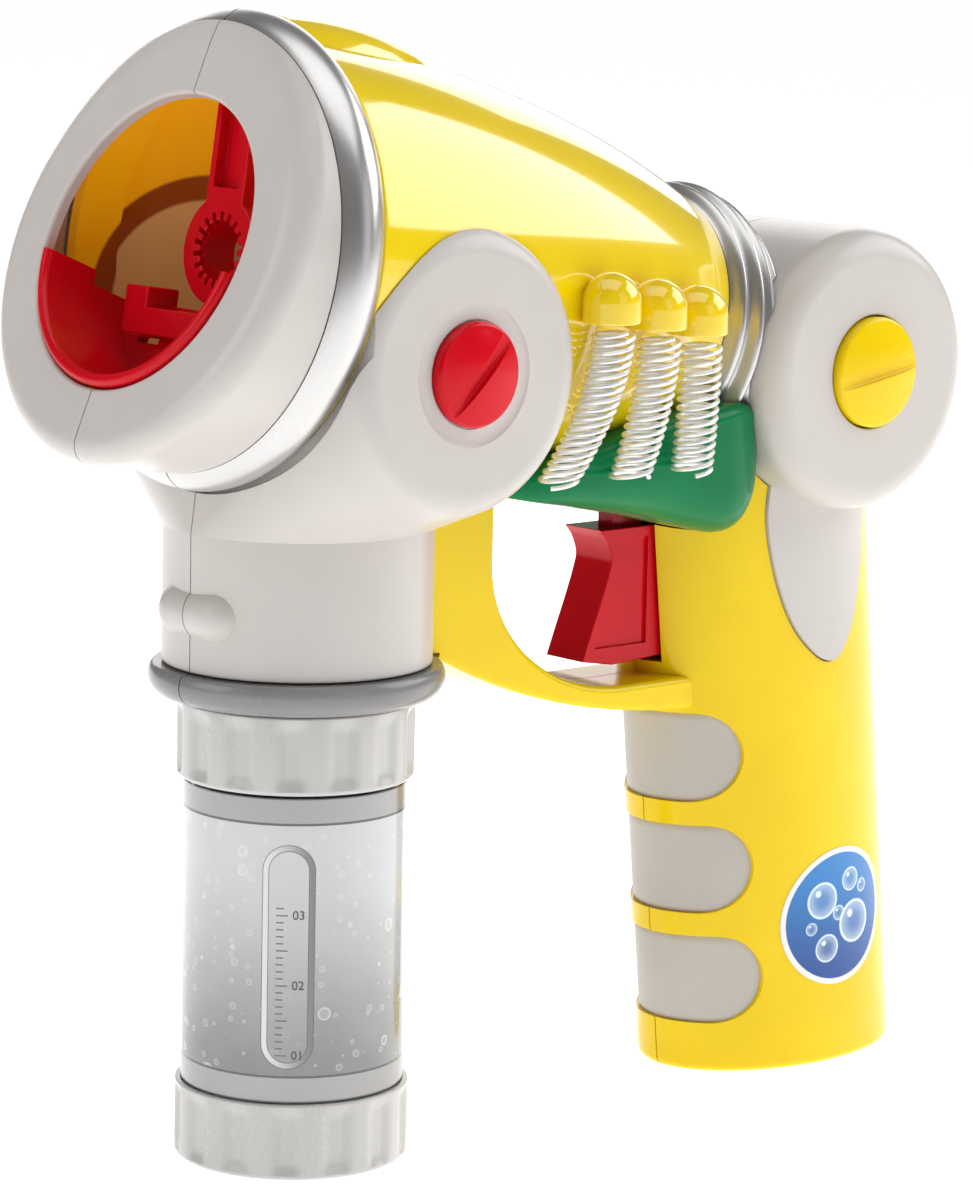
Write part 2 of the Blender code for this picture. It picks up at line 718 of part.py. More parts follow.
HALF = {side: half_box(side) for side in (LEFT, RIGHT)}
BARREL_ROOM = barrel_body("barrel_room", GAP, GAP, BARREL_REAR + GAP)
MUZZLE_ROOM = cylinder("muzzle_room", 2.0 * BEZEL_RADIUS, -2.0 * BEZEL_RADIUS, BARREL_FRONT, None, BARREL)
DRUM_PLACE = Matrix.Translation((0.0, DRUM_Y, DRUM_Z))
DRUM_ROOM = cylinder("drum_room", DRUM_RADIUS + GAP, -REACH, REACH, None, DRUM_PLACE @ across(LEFT),
                     LARGE_TURN)
YOKE_ROOM = yoke_body("yoke_room", GAP)
COLLAR_REACH = COLLAR_RING_RADIUS + COLLAR_RING_TUBE + GAP
SOCKET_ROOM = turned("socket_room", [(0.0, EAR_Z), (SOCKET_RADIUS + GAP, EAR_Z),
                                     (SOCKET_RADIUS + GAP, SOCKET_FOOT_Z + GAP),
                                     (COLLAR_REACH, SOCKET_FOOT_Z + GAP), (COLLAR_REACH, 0.0), (0.0, 0.0)])
POD_ROOM = pod_body("pod_room", GAP)
HOSE_ROOM = tube("hose_room", hose_route(), HOSE_RADIUS + RUN, 1)


def lever_room(name, top):
    """A slot for the wiper lever, from the given height down."""
    wide = WIPER_HALF_WIDTH + RUN
    low = (-wide, -top, DUCT_STATION - RUN)
    return box(name, low, (wide, 2.0 * BARREL_FRONT_RADIUS, BARREL_REAR), None, BARREL)


def make_bezel(side):
    name = "bezel_" + SIDE_NAMES[side]
    slope = math.tan(math.radians(FACE_LEAN))

    def shell(label, inset, rear, look):
        rings = []
        count = LARGE_TURN
        turns = [TAU * i / count for i in range(count)]
        for degrees in (None, 0.0, 30.0, 60.0, 90.0):
            ring = []
            for turn in turns:
                bend = 0.0 if degrees is None else math.radians(degrees)
                radius = BEZEL_RADIUS - inset - BEZEL_EDGE * (1.0 - math.cos(bend))
                up = radius * math.sin(turn)
                front = -FACE_STANDOFF + slope * up + inset
                edge = min(BEZEL_EDGE, max(0.7 * (rear - front), 0.0))
                along = rear if degrees is None else min(front + edge * (1.0 - math.sin(bend)), rear - SPLIT)
                ring.append(station(along, up, radius * math.cos(turn)))
            rings.append(ring)
        return loft(label, rings, look)

    obj = shell(name, 0.0, 0.0, WHITE)
    cut(obj, shell(name + "_hollow", WALL, WALL, None))
    cut(obj, cylinder(name + "_mouth", MOUTH_RADIUS, -MOUTH_RADIUS, MOUTH_RADIUS, None, FACE, LARGE_TURN))
    return keep(obj, HALF[side])


def make_muzzle_ring(side):
    count = 6
    profile = [(SPIGOT_RADIUS + GAP, GAP)]
    for i in range(count + 1):
        share = i / count
        bead = RING_BEAD * math.sin(math.pi * share) ** BEAD_POWER
        profile.append((BEZEL_RADIUS + bead, GAP + RING_LENGTH * share))
    profile.append((SPIGOT_RADIUS + GAP, GAP + RING_LENGTH))
    obj = turned("muzzle_ring_" + SIDE_NAMES[side], profile, SILVER, BARREL, LARGE_TURN, True)
    return keep(obj, HALF[side])


def dome_place(index, side):
    along = DOME_FIRST + index * DOME_PITCH
    return station(along, 0.0, side * (barrel_radius(along) + DOME_STANDOFF))


def make_barrel(side, arm_slot):
    name = "barrel_" + SIDE_NAMES[side]
    outer = [(SPIGOT_RADIUS, GAP), (SPIGOT_RADIUS, BARREL_FRONT)]
    outer += barrel_line(0.0, BARREL_FRONT, BARREL_REAR)
    inner = barrel_line(-WALL, BARREL_FRONT + WALL, BARREL_REAR)
    inner = [(SPIGOT_RADIUS - WALL, GAP), (SPIGOT_RADIUS - WALL, BARREL_FRONT)] + inner
    obj = turned(name, outer + inner[::-1], YELLOW, BARREL, LARGE_TURN, True)
    work = bmesh.new()
    bmesh.ops.create_uvsphere(work, u_segments=SMALL_TURN, v_segments=8, radius=0.5)
    egg = Matrix.Diagonal((HUMP_WIDTH, 2.0 * HUMP_DEPTH, HUMP_LENGTH, 1.0))
    rise = barrel_radius(HUMP_STATION) + HUMP_RISE - HUMP_DEPTH
    fall = barrel_radius(HUMP_STATION) - barrel_radius(HUMP_STATION + WALL)
    lean = Matrix.Rotation(math.atan(fall / WALL), 4, "X")
    place = Matrix.Translation((0.0, -rise, HUMP_STATION)) @ lean @ egg
    bmesh.ops.transform(work, matrix=place, verts=work.verts)
    hump = from_bmesh(name + "_hump", work, None, BARREL)
    front = cylinder(name + "_front", 2.0 * BEZEL_RADIUS, -BEZEL_RADIUS, BARREL_FRONT + GAP, None, BARREL)
    cut(hump, barrel_body(name + "_bore", -0.5 * WALL, GAP, BARREL_REAR), front)
    join(obj, hump)
    for index in range(DOME_COUNT):
        profile = arc((0.0, 0.0), DOME_RADIUS, 90.0, 0.0, 3)
        profile[0] = (0.0, DOME_RADIUS)
        profile += [(DOME_RADIUS, -DOME_SKIRT), (0.0, -DOME_SKIRT)]
        dome = turned(name + "_dome_%d" % (index + 1), profile, None,
                      Matrix.Translation(dome_place(index, side)), TINY_TURN)
        cut(dome, barrel_body(name + "_dome_bore_%d" % (index + 1), -0.5 * WALL, GAP, BARREL_REAR))
        join(obj, dome)
    cut(obj, HOSE_ROOM, arm_slot)
    return keep(obj, HALF[side])


def make_side_spring(index, side):
    name = "side_spring_%s_%d" % (SIDE_NAMES[side], index + 1)
    top = dome_place(index, side)
    top.x += side * (SPRING_STANDOFF - DOME_STANDOFF)
    top.z -= DOME_SKIRT + GAP
    foot_y = top.y + SPRING_FOOT_SHIFT
    pod_side = pod_half_width(foot_y)
    foot = Vector((side * (pod_side + SPRING_STANDOFF), foot_y, SPRING_FOOT_Z))
    coil = SPRING_RADIUS - 0.5 * SPRING_WIRE
    tail = 1.2 * SPRING_WIRE
    start = top.z - 2.0 * tail
    curls = math.floor((start - foot.z) / SPRING_PITCH) + 0.5
    steps = int(curls * SPRING_POINTS)
    path = [Vector((top.x + side * coil, top.y, top.z)), Vector((top.x + side * coil, top.y, top.z - tail))]
    rounds = []
    for i in range(steps + 1):
        share = i / steps
        turn = TAU * curls * share
        middle = Vector((top.x + (foot.x - top.x) * share ** SPRING_BOW_POWER,
                         top.y + (foot.y - top.y) * share, start + (foot.z - start) * share))
        rounds.append(middle + Vector((side * coil * math.cos(turn), coil * math.sin(turn), 0.0)))
    least = min((a - b).length for i, a in enumerate(rounds) for b in rounds[i + SPRING_POINTS // 2:])
    print(name, "curls", curls, "least gap to itself", round(least - SPRING_WIRE, 5))
    path += rounds[1:]
    end = rounds[-1]
    path += [end + Vector((-side * 0.6 * tail, -0.4 * tail, 0.0)),
             Vector((side * (pod_side + GAP), end.y - 0.4 * tail, end.z))]
    return tube(name, path, 0.5 * SPRING_WIRE, 1, STEEL)


def make_socket(side):
    name = "socket_" + SIDE_NAMES[side]
    obj = cylinder(name, SOCKET_RADIUS, SOCKET_FOOT_Z, SOCKET_FLARE_Z, WHITE)
    join(obj, yoke_body(name + "_yoke", 0.0))
    wide = 0.5 * LUG_WIDTH
    tall = 0.5 * LUG_HEIGHT
    lug = []
    for y, shrink in ((-SOCKET_RADIUS - LUG_RISE, LUG_RISE), (-SOCKET_RADIUS - 0.6 * LUG_RISE, 0.0),
                      (-SOCKET_RADIUS + 2.0 * WALL, 0.0)):
        lug += [(x * (wide - shrink), y, LUG_Z + z * (tall - shrink)) for x in (-1, 1) for z in (-1, 1)]
    join(obj, hull(name + "_lug", lug))
    bore = cylinder(name + "_bore", SOCKET_RADIUS - WALL, 0.0, INSERT_TOP_Z + GAP)
    place = Matrix.Translation((0.0, EAR_Y, EAR_Z)) @ across(side)
    seat = cylinder(name + "_seat", EAR_KNOB_RADIUS + GAP, EAR_FACE - EAR_SEAT, 2.0 * EAR_FACE, None, place)
    dip_top = INSERT_TOP_Z + 2.0 * DIP_TUBE_RADIUS + GAP + RUN
    dip = cylinder(name + "_dip", DIP_TUBE_RADIUS + RUN, 0.0, dip_top)
    cut(obj, MUZZLE_ROOM, BARREL_ROOM, bore, dip, seat, HOSE_ROOM)
    return keep(obj, HALF[side])


def make_knob(name, side, place, radius, foot, top, slot_degrees, look):
    """A round button with a slot across its face."""
    edge = 0.45 * KNOB_RISE
    profile = [(0.0, top)] + arc((radius - edge, top - edge), edge, 90.0, 0.0, 2)
    profile += [(radius, foot), (0.0, foot)]
    frame = place @ across(side)
    obj = turned(name, profile, look, frame, SMALL_TURN)
    turn = Matrix.Rotation(math.radians(slot_degrees), 4, "Z")
    slot = box(name + "_slot", (-0.5 * KNOB_SLOT, -2.0 * radius, top - 0.5 * KNOB_RISE),
               (0.5 * KNOB_SLOT, 2.0 * radius, top + KNOB_RISE), None, frame @ turn)
    return cut(obj, slot)


def make_collar_ring(side):
    top = SOCKET_FOOT_Z - GAP
    round_line = arc((COLLAR_RING_RADIUS, COLLAR_RING_Z), COLLAR_RING_TUBE, 0.0, 330.0, 11)
    profile = [(radius, min(height, top)) for radius, height in round_line]
    obj = turned("collar_ring_" + SIDE_NAMES[side], profile, GREY, UPRIGHT, MEDIUM_TURN, True)
    return keep(obj, HALF[side])


def flute_outline(radius):
    """A circle with shallow grooves, for the bottle's grip rings."""
    outline = []
    for i in range(FLUTE_COUNT):
        for share, depth in ((-0.30, 0.0), (0.10, 0.0), (0.22, FLUTE_DEPTH), (0.58, FLUTE_DEPTH)):
            turn = TAU * (i + share) / FLUTE_COUNT
            outline.append(((radius - depth) * math.cos(turn), (radius - depth) * math.sin(turn)))
    return outline


def make_bottle():
    inside = BOTTLE_RADIUS - BOTTLE_WALL
    foot = BOTTLE_WALL + 2.0 * GAP
    bend = BASE_CUP_EDGE
    shoulder = BOTTLE_SHOULDER_Z
    neck_inside = NECK_RADIUS - BOTTLE_WALL
    outer = [(0.0, foot), (BOTTLE_RADIUS - bend, foot)]
    outer += arc((BOTTLE_RADIUS - bend, foot + bend), bend, -45.0, 0.0, 1)
    outer += arc((BOTTLE_RADIUS - bend, shoulder - bend), bend, 0.0, 90.0, 2)
    outer += [(NECK_RADIUS, shoulder), (NECK_RADIUS, NECK_TOP_Z)]
    inner = [(neck_inside, NECK_TOP_Z), (neck_inside, shoulder - BOTTLE_WALL), (inside, shoulder - bend),
             (inside, foot + bend), (inside - bend, foot + BOTTLE_WALL), (0.0, foot + BOTTLE_WALL)]
    turned("bottle_body", (outer + inner)[::-1], CLEAR)
    low = shoulder + GAP
    high = low + CAP_HEIGHT
    ring = extruded("bottle_cap_ring", flute_outline(CAP_RADIUS), low, high, GREY, UPRIGHT)
    cut(ring, cylinder("cap_bore", NECK_RADIUS + GAP, low - WALL, high + WALL))
    floor = BOTTLE_WALL + GAP
    seat = BOTTLE_RADIUS + GAP
    edge = BASE_CUP_EDGE
    inside = [(0.0, 2.0 * BASE_CUP_HEIGHT), (seat, 2.0 * BASE_CUP_HEIGHT)]
    inside += arc((seat - edge, floor + edge), edge, 0.0, -45.0, 1) + [(seat - edge, floor), (0.0, floor)]
    cup = extruded("bottle_base_cup", flute_outline(BASE_CUP_RADIUS), 0.0, BASE_CUP_HEIGHT, GREY, UPRIGHT)
    cut(cup, turned("cup_inside", inside))
    seal_foot = NECK_TOP_Z + GAP
    seal_top = seal_foot + SEAL_HEIGHT
    turned("bottle_seal", [(neck_inside, seal_foot), (NECK_RADIUS, seal_foot), (NECK_RADIUS, seal_top),
                           (neck_inside, seal_top)], RUBBER, UPRIGHT, SMALL_TURN, True)
    outside = SOCKET_RADIUS - WALL - GAP
    bore = NECK_RADIUS + GAP
    hole = DIP_TUBE_RADIUS + GAP
    profile = [(hole, seal_top + GAP), (bore, seal_top + GAP), (bore, SOCKET_FOOT_Z),
               (outside, SOCKET_FOOT_Z), (outside, INSERT_TOP_Z), (hole, INSERT_TOP_Z)]
    turned("neck_insert", profile, NYLON, UPRIGHT, MEDIUM_TURN, True)
    thin = 0.6 * DIP_TUBE_RADIUS
    top = INSERT_TOP_Z + 2.0 * DIP_TUBE_RADIUS
    turned("dip_tube", [(thin, DIP_TUBE_FOOT_Z), (DIP_TUBE_RADIUS, DIP_TUBE_FOOT_Z), (DIP_TUBE_RADIUS, top),
                        (thin, top)], HOSE, UPRIGHT, TINY_TURN, True)


def make_bellows():
    start = BARREL_REAR + GAP
    per_rib = 4
    count = BELLOWS_RIBS * per_rib
    profile = [(BELLOWS_BORE, start)]
    for i in range(count + 1):
        share = i / count
        wave = 0.5 - 0.5 * math.cos(TAU * i / per_rib)
        crest = BELLOWS_RADIUS + (BELLOWS_END_RADIUS - BELLOWS_RADIUS) * share
        profile.append((crest - BELLOWS_DEPTH * (1.0 - wave), start + BELLOWS_RIBS * BELLOWS_PITCH * share))
    profile.append((BELLOWS_BORE, start + BELLOWS_RIBS * BELLOWS_PITCH))
    return cut(turned("bellows_neck", profile, SILVER, BARREL, MEDIUM_TURN, True), DRUM_ROOM)


def make_tongue(name, side, grow):
    """A flat outline wrapped on the grip's side."""
    outline = TONGUE_OUTLINE
    if grow:
        middle = Vector((sum(y for y, z in outline), sum(z for y, z in outline))) / len(outline)
        outline = [tuple(Vector(p) + (Vector(p) - middle).normalized() * grow) for p in outline]
    ends = sorted((side * 0.2 * GRIP_HALF_WIDTH, side * 2.0 * GRIP_HALF_WIDTH))
    obj = extruded(name, outline, ends[0], ends[1])
    if not grow:
        keep(obj, grip_body(name + "_outside", TONGUE_RISE, 0.0, 1.1 * GRIP_TOP_Z))
    cut(obj, grip_body(name + "_inside", -TONGUE_DEPTH - grow, 0.0, 1.2 * GRIP_TOP_Z))
    return obj


def make_rear_housing(side):
    name = "rear_housing_" + SIDE_NAMES[side]
    dish = DRUM_FACE - DISH_DEPTH
    seat = dish - DRUM_SEAT
    profile = [(0.0, seat), (REAR_KNOB_RADIUS + GAP, seat), (REAR_KNOB_RADIUS + GAP, dish),
               (DISH_RADIUS, dish), (DISH_RADIUS + DISH_DEPTH, DRUM_FACE)]
    profile += arc((DRUM_RADIUS - DRUM_EDGE, DRUM_FACE - DRUM_EDGE), DRUM_EDGE, 90.0, 0.0, 3)
    profile += [(DRUM_RADIUS, SPLIT), (DRUM_RADIUS - WALL, SPLIT), (DRUM_RADIUS - WALL, seat - DRUM_EDGE),
                (DRUM_RADIUS - DRUM_EDGE, seat - WALL), (0.0, seat - WALL)]
    obj = turned(name, profile, WHITE, DRUM_PLACE @ across(side))
    return join(obj, make_tongue(name + "_tongue", side, 0.0))


def make_pod(side, arm_room):
    obj = pod_body("pod_" + SIDE_NAMES[side] + "_solid", 0.0)
    mesh = obj.data
    bpy.data.objects.remove(obj, do_unlink=True)
    part = add("pod_" + SIDE_NAMES[side], mesh, GREEN)
    cut(part, BARREL_ROOM, DRUM_ROOM, YOKE_ROOM, *arm_room)
    bellows = cylinder("pod_%s_bellows" % SIDE_NAMES[side], BELLOWS_RADIUS + GAP, BARREL_REAR - GAP,
                       BARREL_REAR + BELLOWS_RIBS * BELLOWS_PITCH, None, BARREL)
    cut(part, bellows)
    return keep(part, HALF[side])


def pad_prism(name, index, grow):
    """D-shaped block that marks out one finger pad, from side to side of the grip."""
    middle = PAD_LOW_Z + index * PAD_PITCH
    front = grip_front(middle)
    radius = 0.5 * PAD_HEIGHT + grow
    centre = front + PAD_REACH - index * PAD_STEP - 0.5 * PAD_HEIGHT
    outline = [(front - PAD_HEIGHT, middle - radius)]
    outline += arc((centre, middle), radius, -90.0, 90.0, 8)
    outline.append((front - PAD_HEIGHT, middle + radius))
    return extruded(name, outline, -2.0 * GRIP_HALF_WIDTH, 2.0 * GRIP_HALF_WIDTH)


def make_pad(index):
    name = "finger_pad_%d" % (index + 1)
    obj = pad_prism(name + "_block", index, 0.0)
    mesh = obj.data
    bpy.data.objects.remove(obj, do_unlink=True)
    pad = add(name, mesh, WHITE, SIDE)
    keep(pad, grip_body(name + "_outside", -PAD_SINK, 0.0, GRIP_TOP_Z))
    return cut(pad, grip_body(name + "_inside", -PAD_SINK - PAD_THICK, -GAP, GRIP_TOP_Z + GAP))


def door_prism(name, grow):
    low = DOOR_LOW_Z - grow
    high = DOOR_LOW_Z + DOOR_HEIGHT + grow
    wide = DOOR_HALF_WIDTH + grow
    outline = []
    for z, way in ((low, -1), (low, 1), (high, 1), (high, -1)):
        outline.append((GRIP_FOOT_Y - GRIP_LEAN * z + way * wide, z))
    return extruded(name, outline, -2.0 * GRIP_HALF_WIDTH, -0.4 * GRIP_HALF_WIDTH)


def make_door():
    obj = door_prism("battery_door_block", 0.0)
    mesh = obj.data
    bpy.data.objects.remove(obj, do_unlink=True)
    door = add("battery_door", mesh, YELLOW, SIDE)
    keep(door, grip_body("door_outside", 0.0, 0.0, GRIP_TOP_Z))
    return cut(door, grip_body("door_inside", -DOOR_THICK, -GAP, GRIP_TOP_Z + GAP))


GRIP_FRAME = Matrix.Translation((0.0, GRIP_FOOT_Y, 0.0)) @ Matrix.Rotation(GRIP_TILT, 4, "X")
CELL_TOP = CELL_FOOT_Z + CELL_LENGTH
SHELF_Z = CELL_TOP + 2.0 * GAP + CONTACT_THICK


def make_grip(side, arm_room):
    name = "grip_" + SIDE_NAMES[side]
    obj = grip_body(name + "_solid", 0.0, 0.0, GRIP_TOP_Z, GRIP_FOOT_EDGE)
    mesh = obj.data
    bpy.data.objects.remove(obj, do_unlink=True)
    grip = add(name, mesh, YELLOW)
    cut(grip, grip_body(name + "_hollow", -GRIP_WALL, GRIP_FLOOR, GRIP_TOP_Z + GRIP_WALL))
    gap_line = []
    for degrees in range(270, 179, -10):
        turn = math.radians(degrees)
        gap_line.append((FINGER_Y + FINGER_HALF_LENGTH * math.cos(turn),
                         FINGER_Z + FINGER_HALF_HEIGHT * math.sin(turn)))
    outline = bow(GUARD_START, GUARD_PULL, GUARD_END, 10)
    outline += [(GUARD_END[0], FINGER_Z - FINGER_HALF_HEIGHT)] + gap_line
    outline += [(gap_line[-1][0], GUARD_TOP_Z), (GUARD_START[0], GUARD_TOP_Z)]
    guard = extruded(name + "_guard", outline, -GUARD_HALF_WIDTH, GUARD_HALF_WIDTH)
    cut(guard, grip_body(name + "_guard_end", -0.5 * GRIP_WALL, 0.0, GRIP_TOP_Z))
    join(grip, guard)
    reach = GRIP_HALF_WIDTH - 0.6 * GRIP_WALL
    rib = box(name + "_rib", (0.0, RIB_Y, RIB_LOW_Z), (side * reach, RIB_Y + RIB_THICK, RIB_HIGH_Z))
    join(grip, rib)
    if side == LEFT:
        join(grip, box(name + "_shelf", (0.0, -CELL_RADIUS, SHELF_Z), (reach, CELL_RADIUS, SHELF_Z + WALL),
                       None, GRIP_FRAME))
    slot = box(name + "_slot", (-TRIGGER_HALF_WIDTH - RUN, FINGER_Y, TRIGGER_FOOT_Z - 3.0 * RUN),
               (TRIGGER_HALF_WIDTH + RUN, grip_front(TRIGGER_FOOT_Z) + 1.5 * GRIP_WALL, TRIGGER_TOP_Z + RUN))
    cut(grip, slot, POD_ROOM, DRUM_ROOM, BARREL_ROOM, YOKE_ROOM, SOCKET_ROOM, *arm_room)
    cut(grip, make_tongue(name + "_tongue_seat", side, GAP))
    for index in range(3):
        seat = pad_prism("%s_pad_seat_%d" % (name, index + 1), index, GAP)
        cut(seat, grip_body("%s_pad_floor_%d" % (name, index + 1), -PAD_SINK - PAD_THICK - GAP, -GAP,
                            GRIP_TOP_Z + GAP))
        cut(grip, seat)
    if side == RIGHT:
        cut(grip, door_prism(name + "_door_way", GAP))
    return keep(grip, HALF[side])


NUB_Y, NUB_Z = in_side_view(*WIPER_NUB)
TAB_REAR_Y = NUB_Y + 0.1 * TAB_LENGTH
TAB_FRONT_Y = TAB_REAR_Y - TAB_LENGTH
TAB_RISE = 0.8 * (WIPER_PIVOT[0] - WIPER_NUB[0]) * math.sin(math.radians(WIPER_SWING))


def make_trigger():
    middle_z = 0.5 * (TRIGGER_TOP_Z + TRIGGER_FOOT_Z)
    toe = (TRIGGER_FRONT_Y - TRIGGER_HOOK, TRIGGER_FOOT_Z)
    outline = bow((TRIGGER_FRONT_Y, TRIGGER_TOP_Z), (TRIGGER_FRONT_Y + 0.1 * TRIGGER_HOOK, middle_z), toe, 8)
    outline += [(toe[0] + TRIGGER_HOOK, TRIGGER_FOOT_Z - 2.0 * RUN), (TRIGGER_REAR_Y, TRIGGER_FOOT_Z),
                (TRIGGER_REAR_Y, TRIGGER_TOP_Z)]
    obj = extruded("trigger", outline, -TRIGGER_HALF_WIDTH, TRIGGER_HALF_WIDTH, RED)
    rim = WALL
    grip_face = grip_front(TRIGGER_FOOT_Z)
    panel = [(y + rim, z + (-rim if z > middle_z else rim)) for y, z in outline[:9]]
    panel += [(grip_face - rim, TRIGGER_FOOT_Z + rim), (grip_face - rim, TRIGGER_TOP_Z - rim)]
    for side in (LEFT, RIGHT):
        ends = sorted((side * (TRIGGER_HALF_WIDTH - TRIGGER_PANEL), side * 2.0 * TRIGGER_HALF_WIDTH))
        cut(obj, extruded("trigger_panel_" + SIDE_NAMES[side], panel, ends[0], ends[1]))
    bulge = math.sqrt(1.0 - (STOP_HALF_WIDTH / (GRIP_HALF_WIDTH - GRIP_WALL)) ** 2)
    inside = grip_front(TRIGGER_FOOT_Z) + GRIP_HALF_DEPTH - (GRIP_HALF_DEPTH - GRIP_WALL) * bulge + RUN
    stop = box("trigger_stop", (-STOP_HALF_WIDTH, inside, TRIGGER_FOOT_Z + RUN),
               (STOP_HALF_WIDTH, TRIGGER_REAR_Y, TRIGGER_TOP_Z - RUN))
    tab_low = NUB_Z - GAP
    arm = [(ARM_FRONT_Y, TRIGGER_TOP_Z - WALL), (ARM_REAR_Y, TRIGGER_TOP_Z - WALL), (ARM_REAR_Y, ARM_TOP_Z),
           (TAB_REAR_Y, ARM_TOP_Z), (TAB_REAR_Y, tab_low), (TAB_FRONT_Y, tab_low + TAB_RISE),
           (TAB_FRONT_Y, ARM_LOW_Z), (ARM_FRONT_Y, ARM_LOW_Z)]
    return join(obj, stop, extruded("trigger_arm", arm, -ARM_HALF_WIDTH, ARM_HALF_WIDTH))


def arm_rooms():
    """Room for the trigger's arm: through the barrel's wall, and inside the pod."""
    wide = ARM_HALF_WIDTH + RUN
    front = TAB_FRONT_Y - RUN
    rear = ARM_REAR_Y + TRIGGER_TRAVEL + RUN
    slot = box("arm_slot", (-wide, front, ARM_LOW_Z), (wide, TAB_REAR_Y + TRIGGER_TRAVEL + RUN, NUB_Z + RUN))
    room = box("arm_room", (-wide, front, ARM_LOW_Z - RUN), (wide, rear, NUB_Z + RUN))
    door = box("arm_door", (-wide, ARM_FRONT_Y - RUN, POD_SECTIONS[-3][2] - WALL), (wide, rear, ARM_TOP_Z))
    return slot, (room, door)


def make_trigger_spring():
    coil = RETURN_SPRING_RADIUS - 0.5 * RETURN_SPRING_WIRE
    start = TRIGGER_REAR_Y + GAP
    end = RIB_Y - GAP
    tail = 1.2 * RETURN_SPRING_WIRE
    steps = RETURN_SPRING_TURNS * SPRING_POINTS
    path = [Vector((coil, start, RETURN_SPRING_Z)), Vector((coil, start + tail, RETURN_SPRING_Z))]
    rounds = []
    for i in range(steps + 1):
        share = i / steps
        turn = TAU * RETURN_SPRING_TURNS * share
        y = start + 2.0 * tail + (end - start - 4.0 * tail) * share
        rounds.append(Vector((coil * math.cos(turn), y, RETURN_SPRING_Z + coil * math.sin(turn))))
    least = min((a - b).length for i, a in enumerate(rounds) for b in rounds[i + SPRING_POINTS // 2:])
    room = round(least - RETURN_SPRING_WIRE, 5)
    print("trigger_spring curls", RETURN_SPRING_TURNS, "least gap to itself", room)
    path += rounds[1:-1]
    path += [Vector((coil, end - tail, RETURN_SPRING_Z)), Vector((coil, end, RETURN_SPRING_Z))]
    return tube("trigger_spring", path, 0.5 * RETURN_SPRING_WIRE, 1, STEEL)


def make_switch():
    rear = RIB_Y - GAP
    low = RIB_LOW_Z + RUN
    body = box("switch", (-SWITCH_HALF_WIDTH, rear - SWITCH_LENGTH, low),
               (SWITCH_HALF_WIDTH, rear, low + SWITCH_HEIGHT), RUBBER)
    frame = Matrix.Translation((0.0, rear - SWITCH_LENGTH, low + 0.5 * SWITCH_HEIGHT))
    turn = Matrix.Rotation(0.5 * math.pi, 4, "X")
    plunger = cylinder("switch_plunger", PLUNGER_RADIUS, -PLUNGER_RADIUS, RUN, None, frame @ turn, TINY_TURN)
    return join(body, plunger)


def make_batteries():
    nub = 0.45 * CELL_RADIUS
    high = CELL_FOOT_Z + CELL_LENGTH
    cap = 2.0 * CONTACT_THICK
    profile = [(0.0, high), (nub, high), (nub, high - cap), (CELL_RADIUS - GAP, high - cap),
               (CELL_RADIUS, high - cap - GAP), (CELL_RADIUS, CELL_FOOT_Z + GAP),
               (CELL_RADIUS - GAP, CELL_FOOT_Z), (0.0, CELL_FOOT_Z)]
    for name, way in (("battery_front", -1), ("battery_rear", 1)):
        turned(name, profile, CELL, moved(GRIP_FRAME, 0.0, way * 0.5 * CELL_PITCH), TINY_TURN)
    wide = 0.6 * CELL_RADIUS
    long = CELL_PITCH
    for name, low in (("contact_bottom", CONTACT_FOOT_Z), ("contact_top", high + GAP)):
        box(name, (-wide, -long, low), (wide, long, low + CONTACT_THICK), STEEL, GRIP_FRAME)


def make_motor_and_fan():
    motor = cylinder("motor", MOTOR_RADIUS, MOTOR_STATION, MOTOR_STATION + MOTOR_LENGTH, STEEL, BARREL)
    keep(motor, box("motor_flats", (-MOTOR_FLAT, -REACH, -REACH), (MOTOR_FLAT, REACH, REACH), None, BARREL))
    cut(motor, cylinder("motor_bore", SHAFT_RADIUS + RUN, -REACH, REACH, None, BARREL, TINY_TURN))
    gear_end = FIRST_GEAR + GEAR_WIDTH
    cylinder("motor_shaft", SHAFT_RADIUS, FAN_STATION + SHAFT_RADIUS, gear_end, STEEL, BARREL, TINY_TURN)
    fan = cylinder("fan", FAN_HUB_RADIUS, FAN_STATION, FAN_STATION + FAN_LENGTH, WHITE, BARREL, SMALL_TURN)
    work = bmesh.new()
    reach = FAN_RADIUS - 0.8 * FAN_HUB_RADIUS
    chord = FAN_LENGTH / math.cos(math.radians(BLADE_PITCH)) - 2.0 * BLADE_THICK
    for i in range(FAN_BLADES):
        turn = Matrix.Rotation(TAU * i / FAN_BLADES, 4, "Z")
        place = Matrix.Translation((0.8 * FAN_HUB_RADIUS + 0.5 * reach, 0.0, FAN_STATION + 0.5 * FAN_LENGTH))
        pitch = Matrix.Rotation(math.radians(BLADE_PITCH), 4, "X")
        size = Matrix.Diagonal((reach, BLADE_THICK, chord, 1.0))
        bmesh.ops.create_cube(work, size=1.0, matrix=turn @ place @ pitch @ size)
    join(fan, from_bmesh("fan_blades", work, None, BARREL))
    bore_front = FAN_STATION + SHAFT_RADIUS - GAP
    cut(fan, cylinder("fan_bore", SHAFT_RADIUS + GAP, bore_front, REACH, None, BARREL, TINY_TURN))
    outer = barrel_inside(DUCT_STATION + DUCT_THICK)
    shroud = DUCT_BORE + 0.6 * DUCT_THICK
    profile = [(DUCT_BORE, DUCT_STATION), (outer, DUCT_STATION), (outer, DUCT_STATION + DUCT_THICK),
               (shroud, DUCT_STATION + DUCT_THICK), (shroud, SHROUD_END),
               (DUCT_BORE, SHROUD_END)]
    duct = turned("air_duct", profile, WHITE, BARREL, MEDIUM_TURN, True)
    cut(duct, lever_room("duct_slot", -shroud - GAP), HOSE_ROOM)


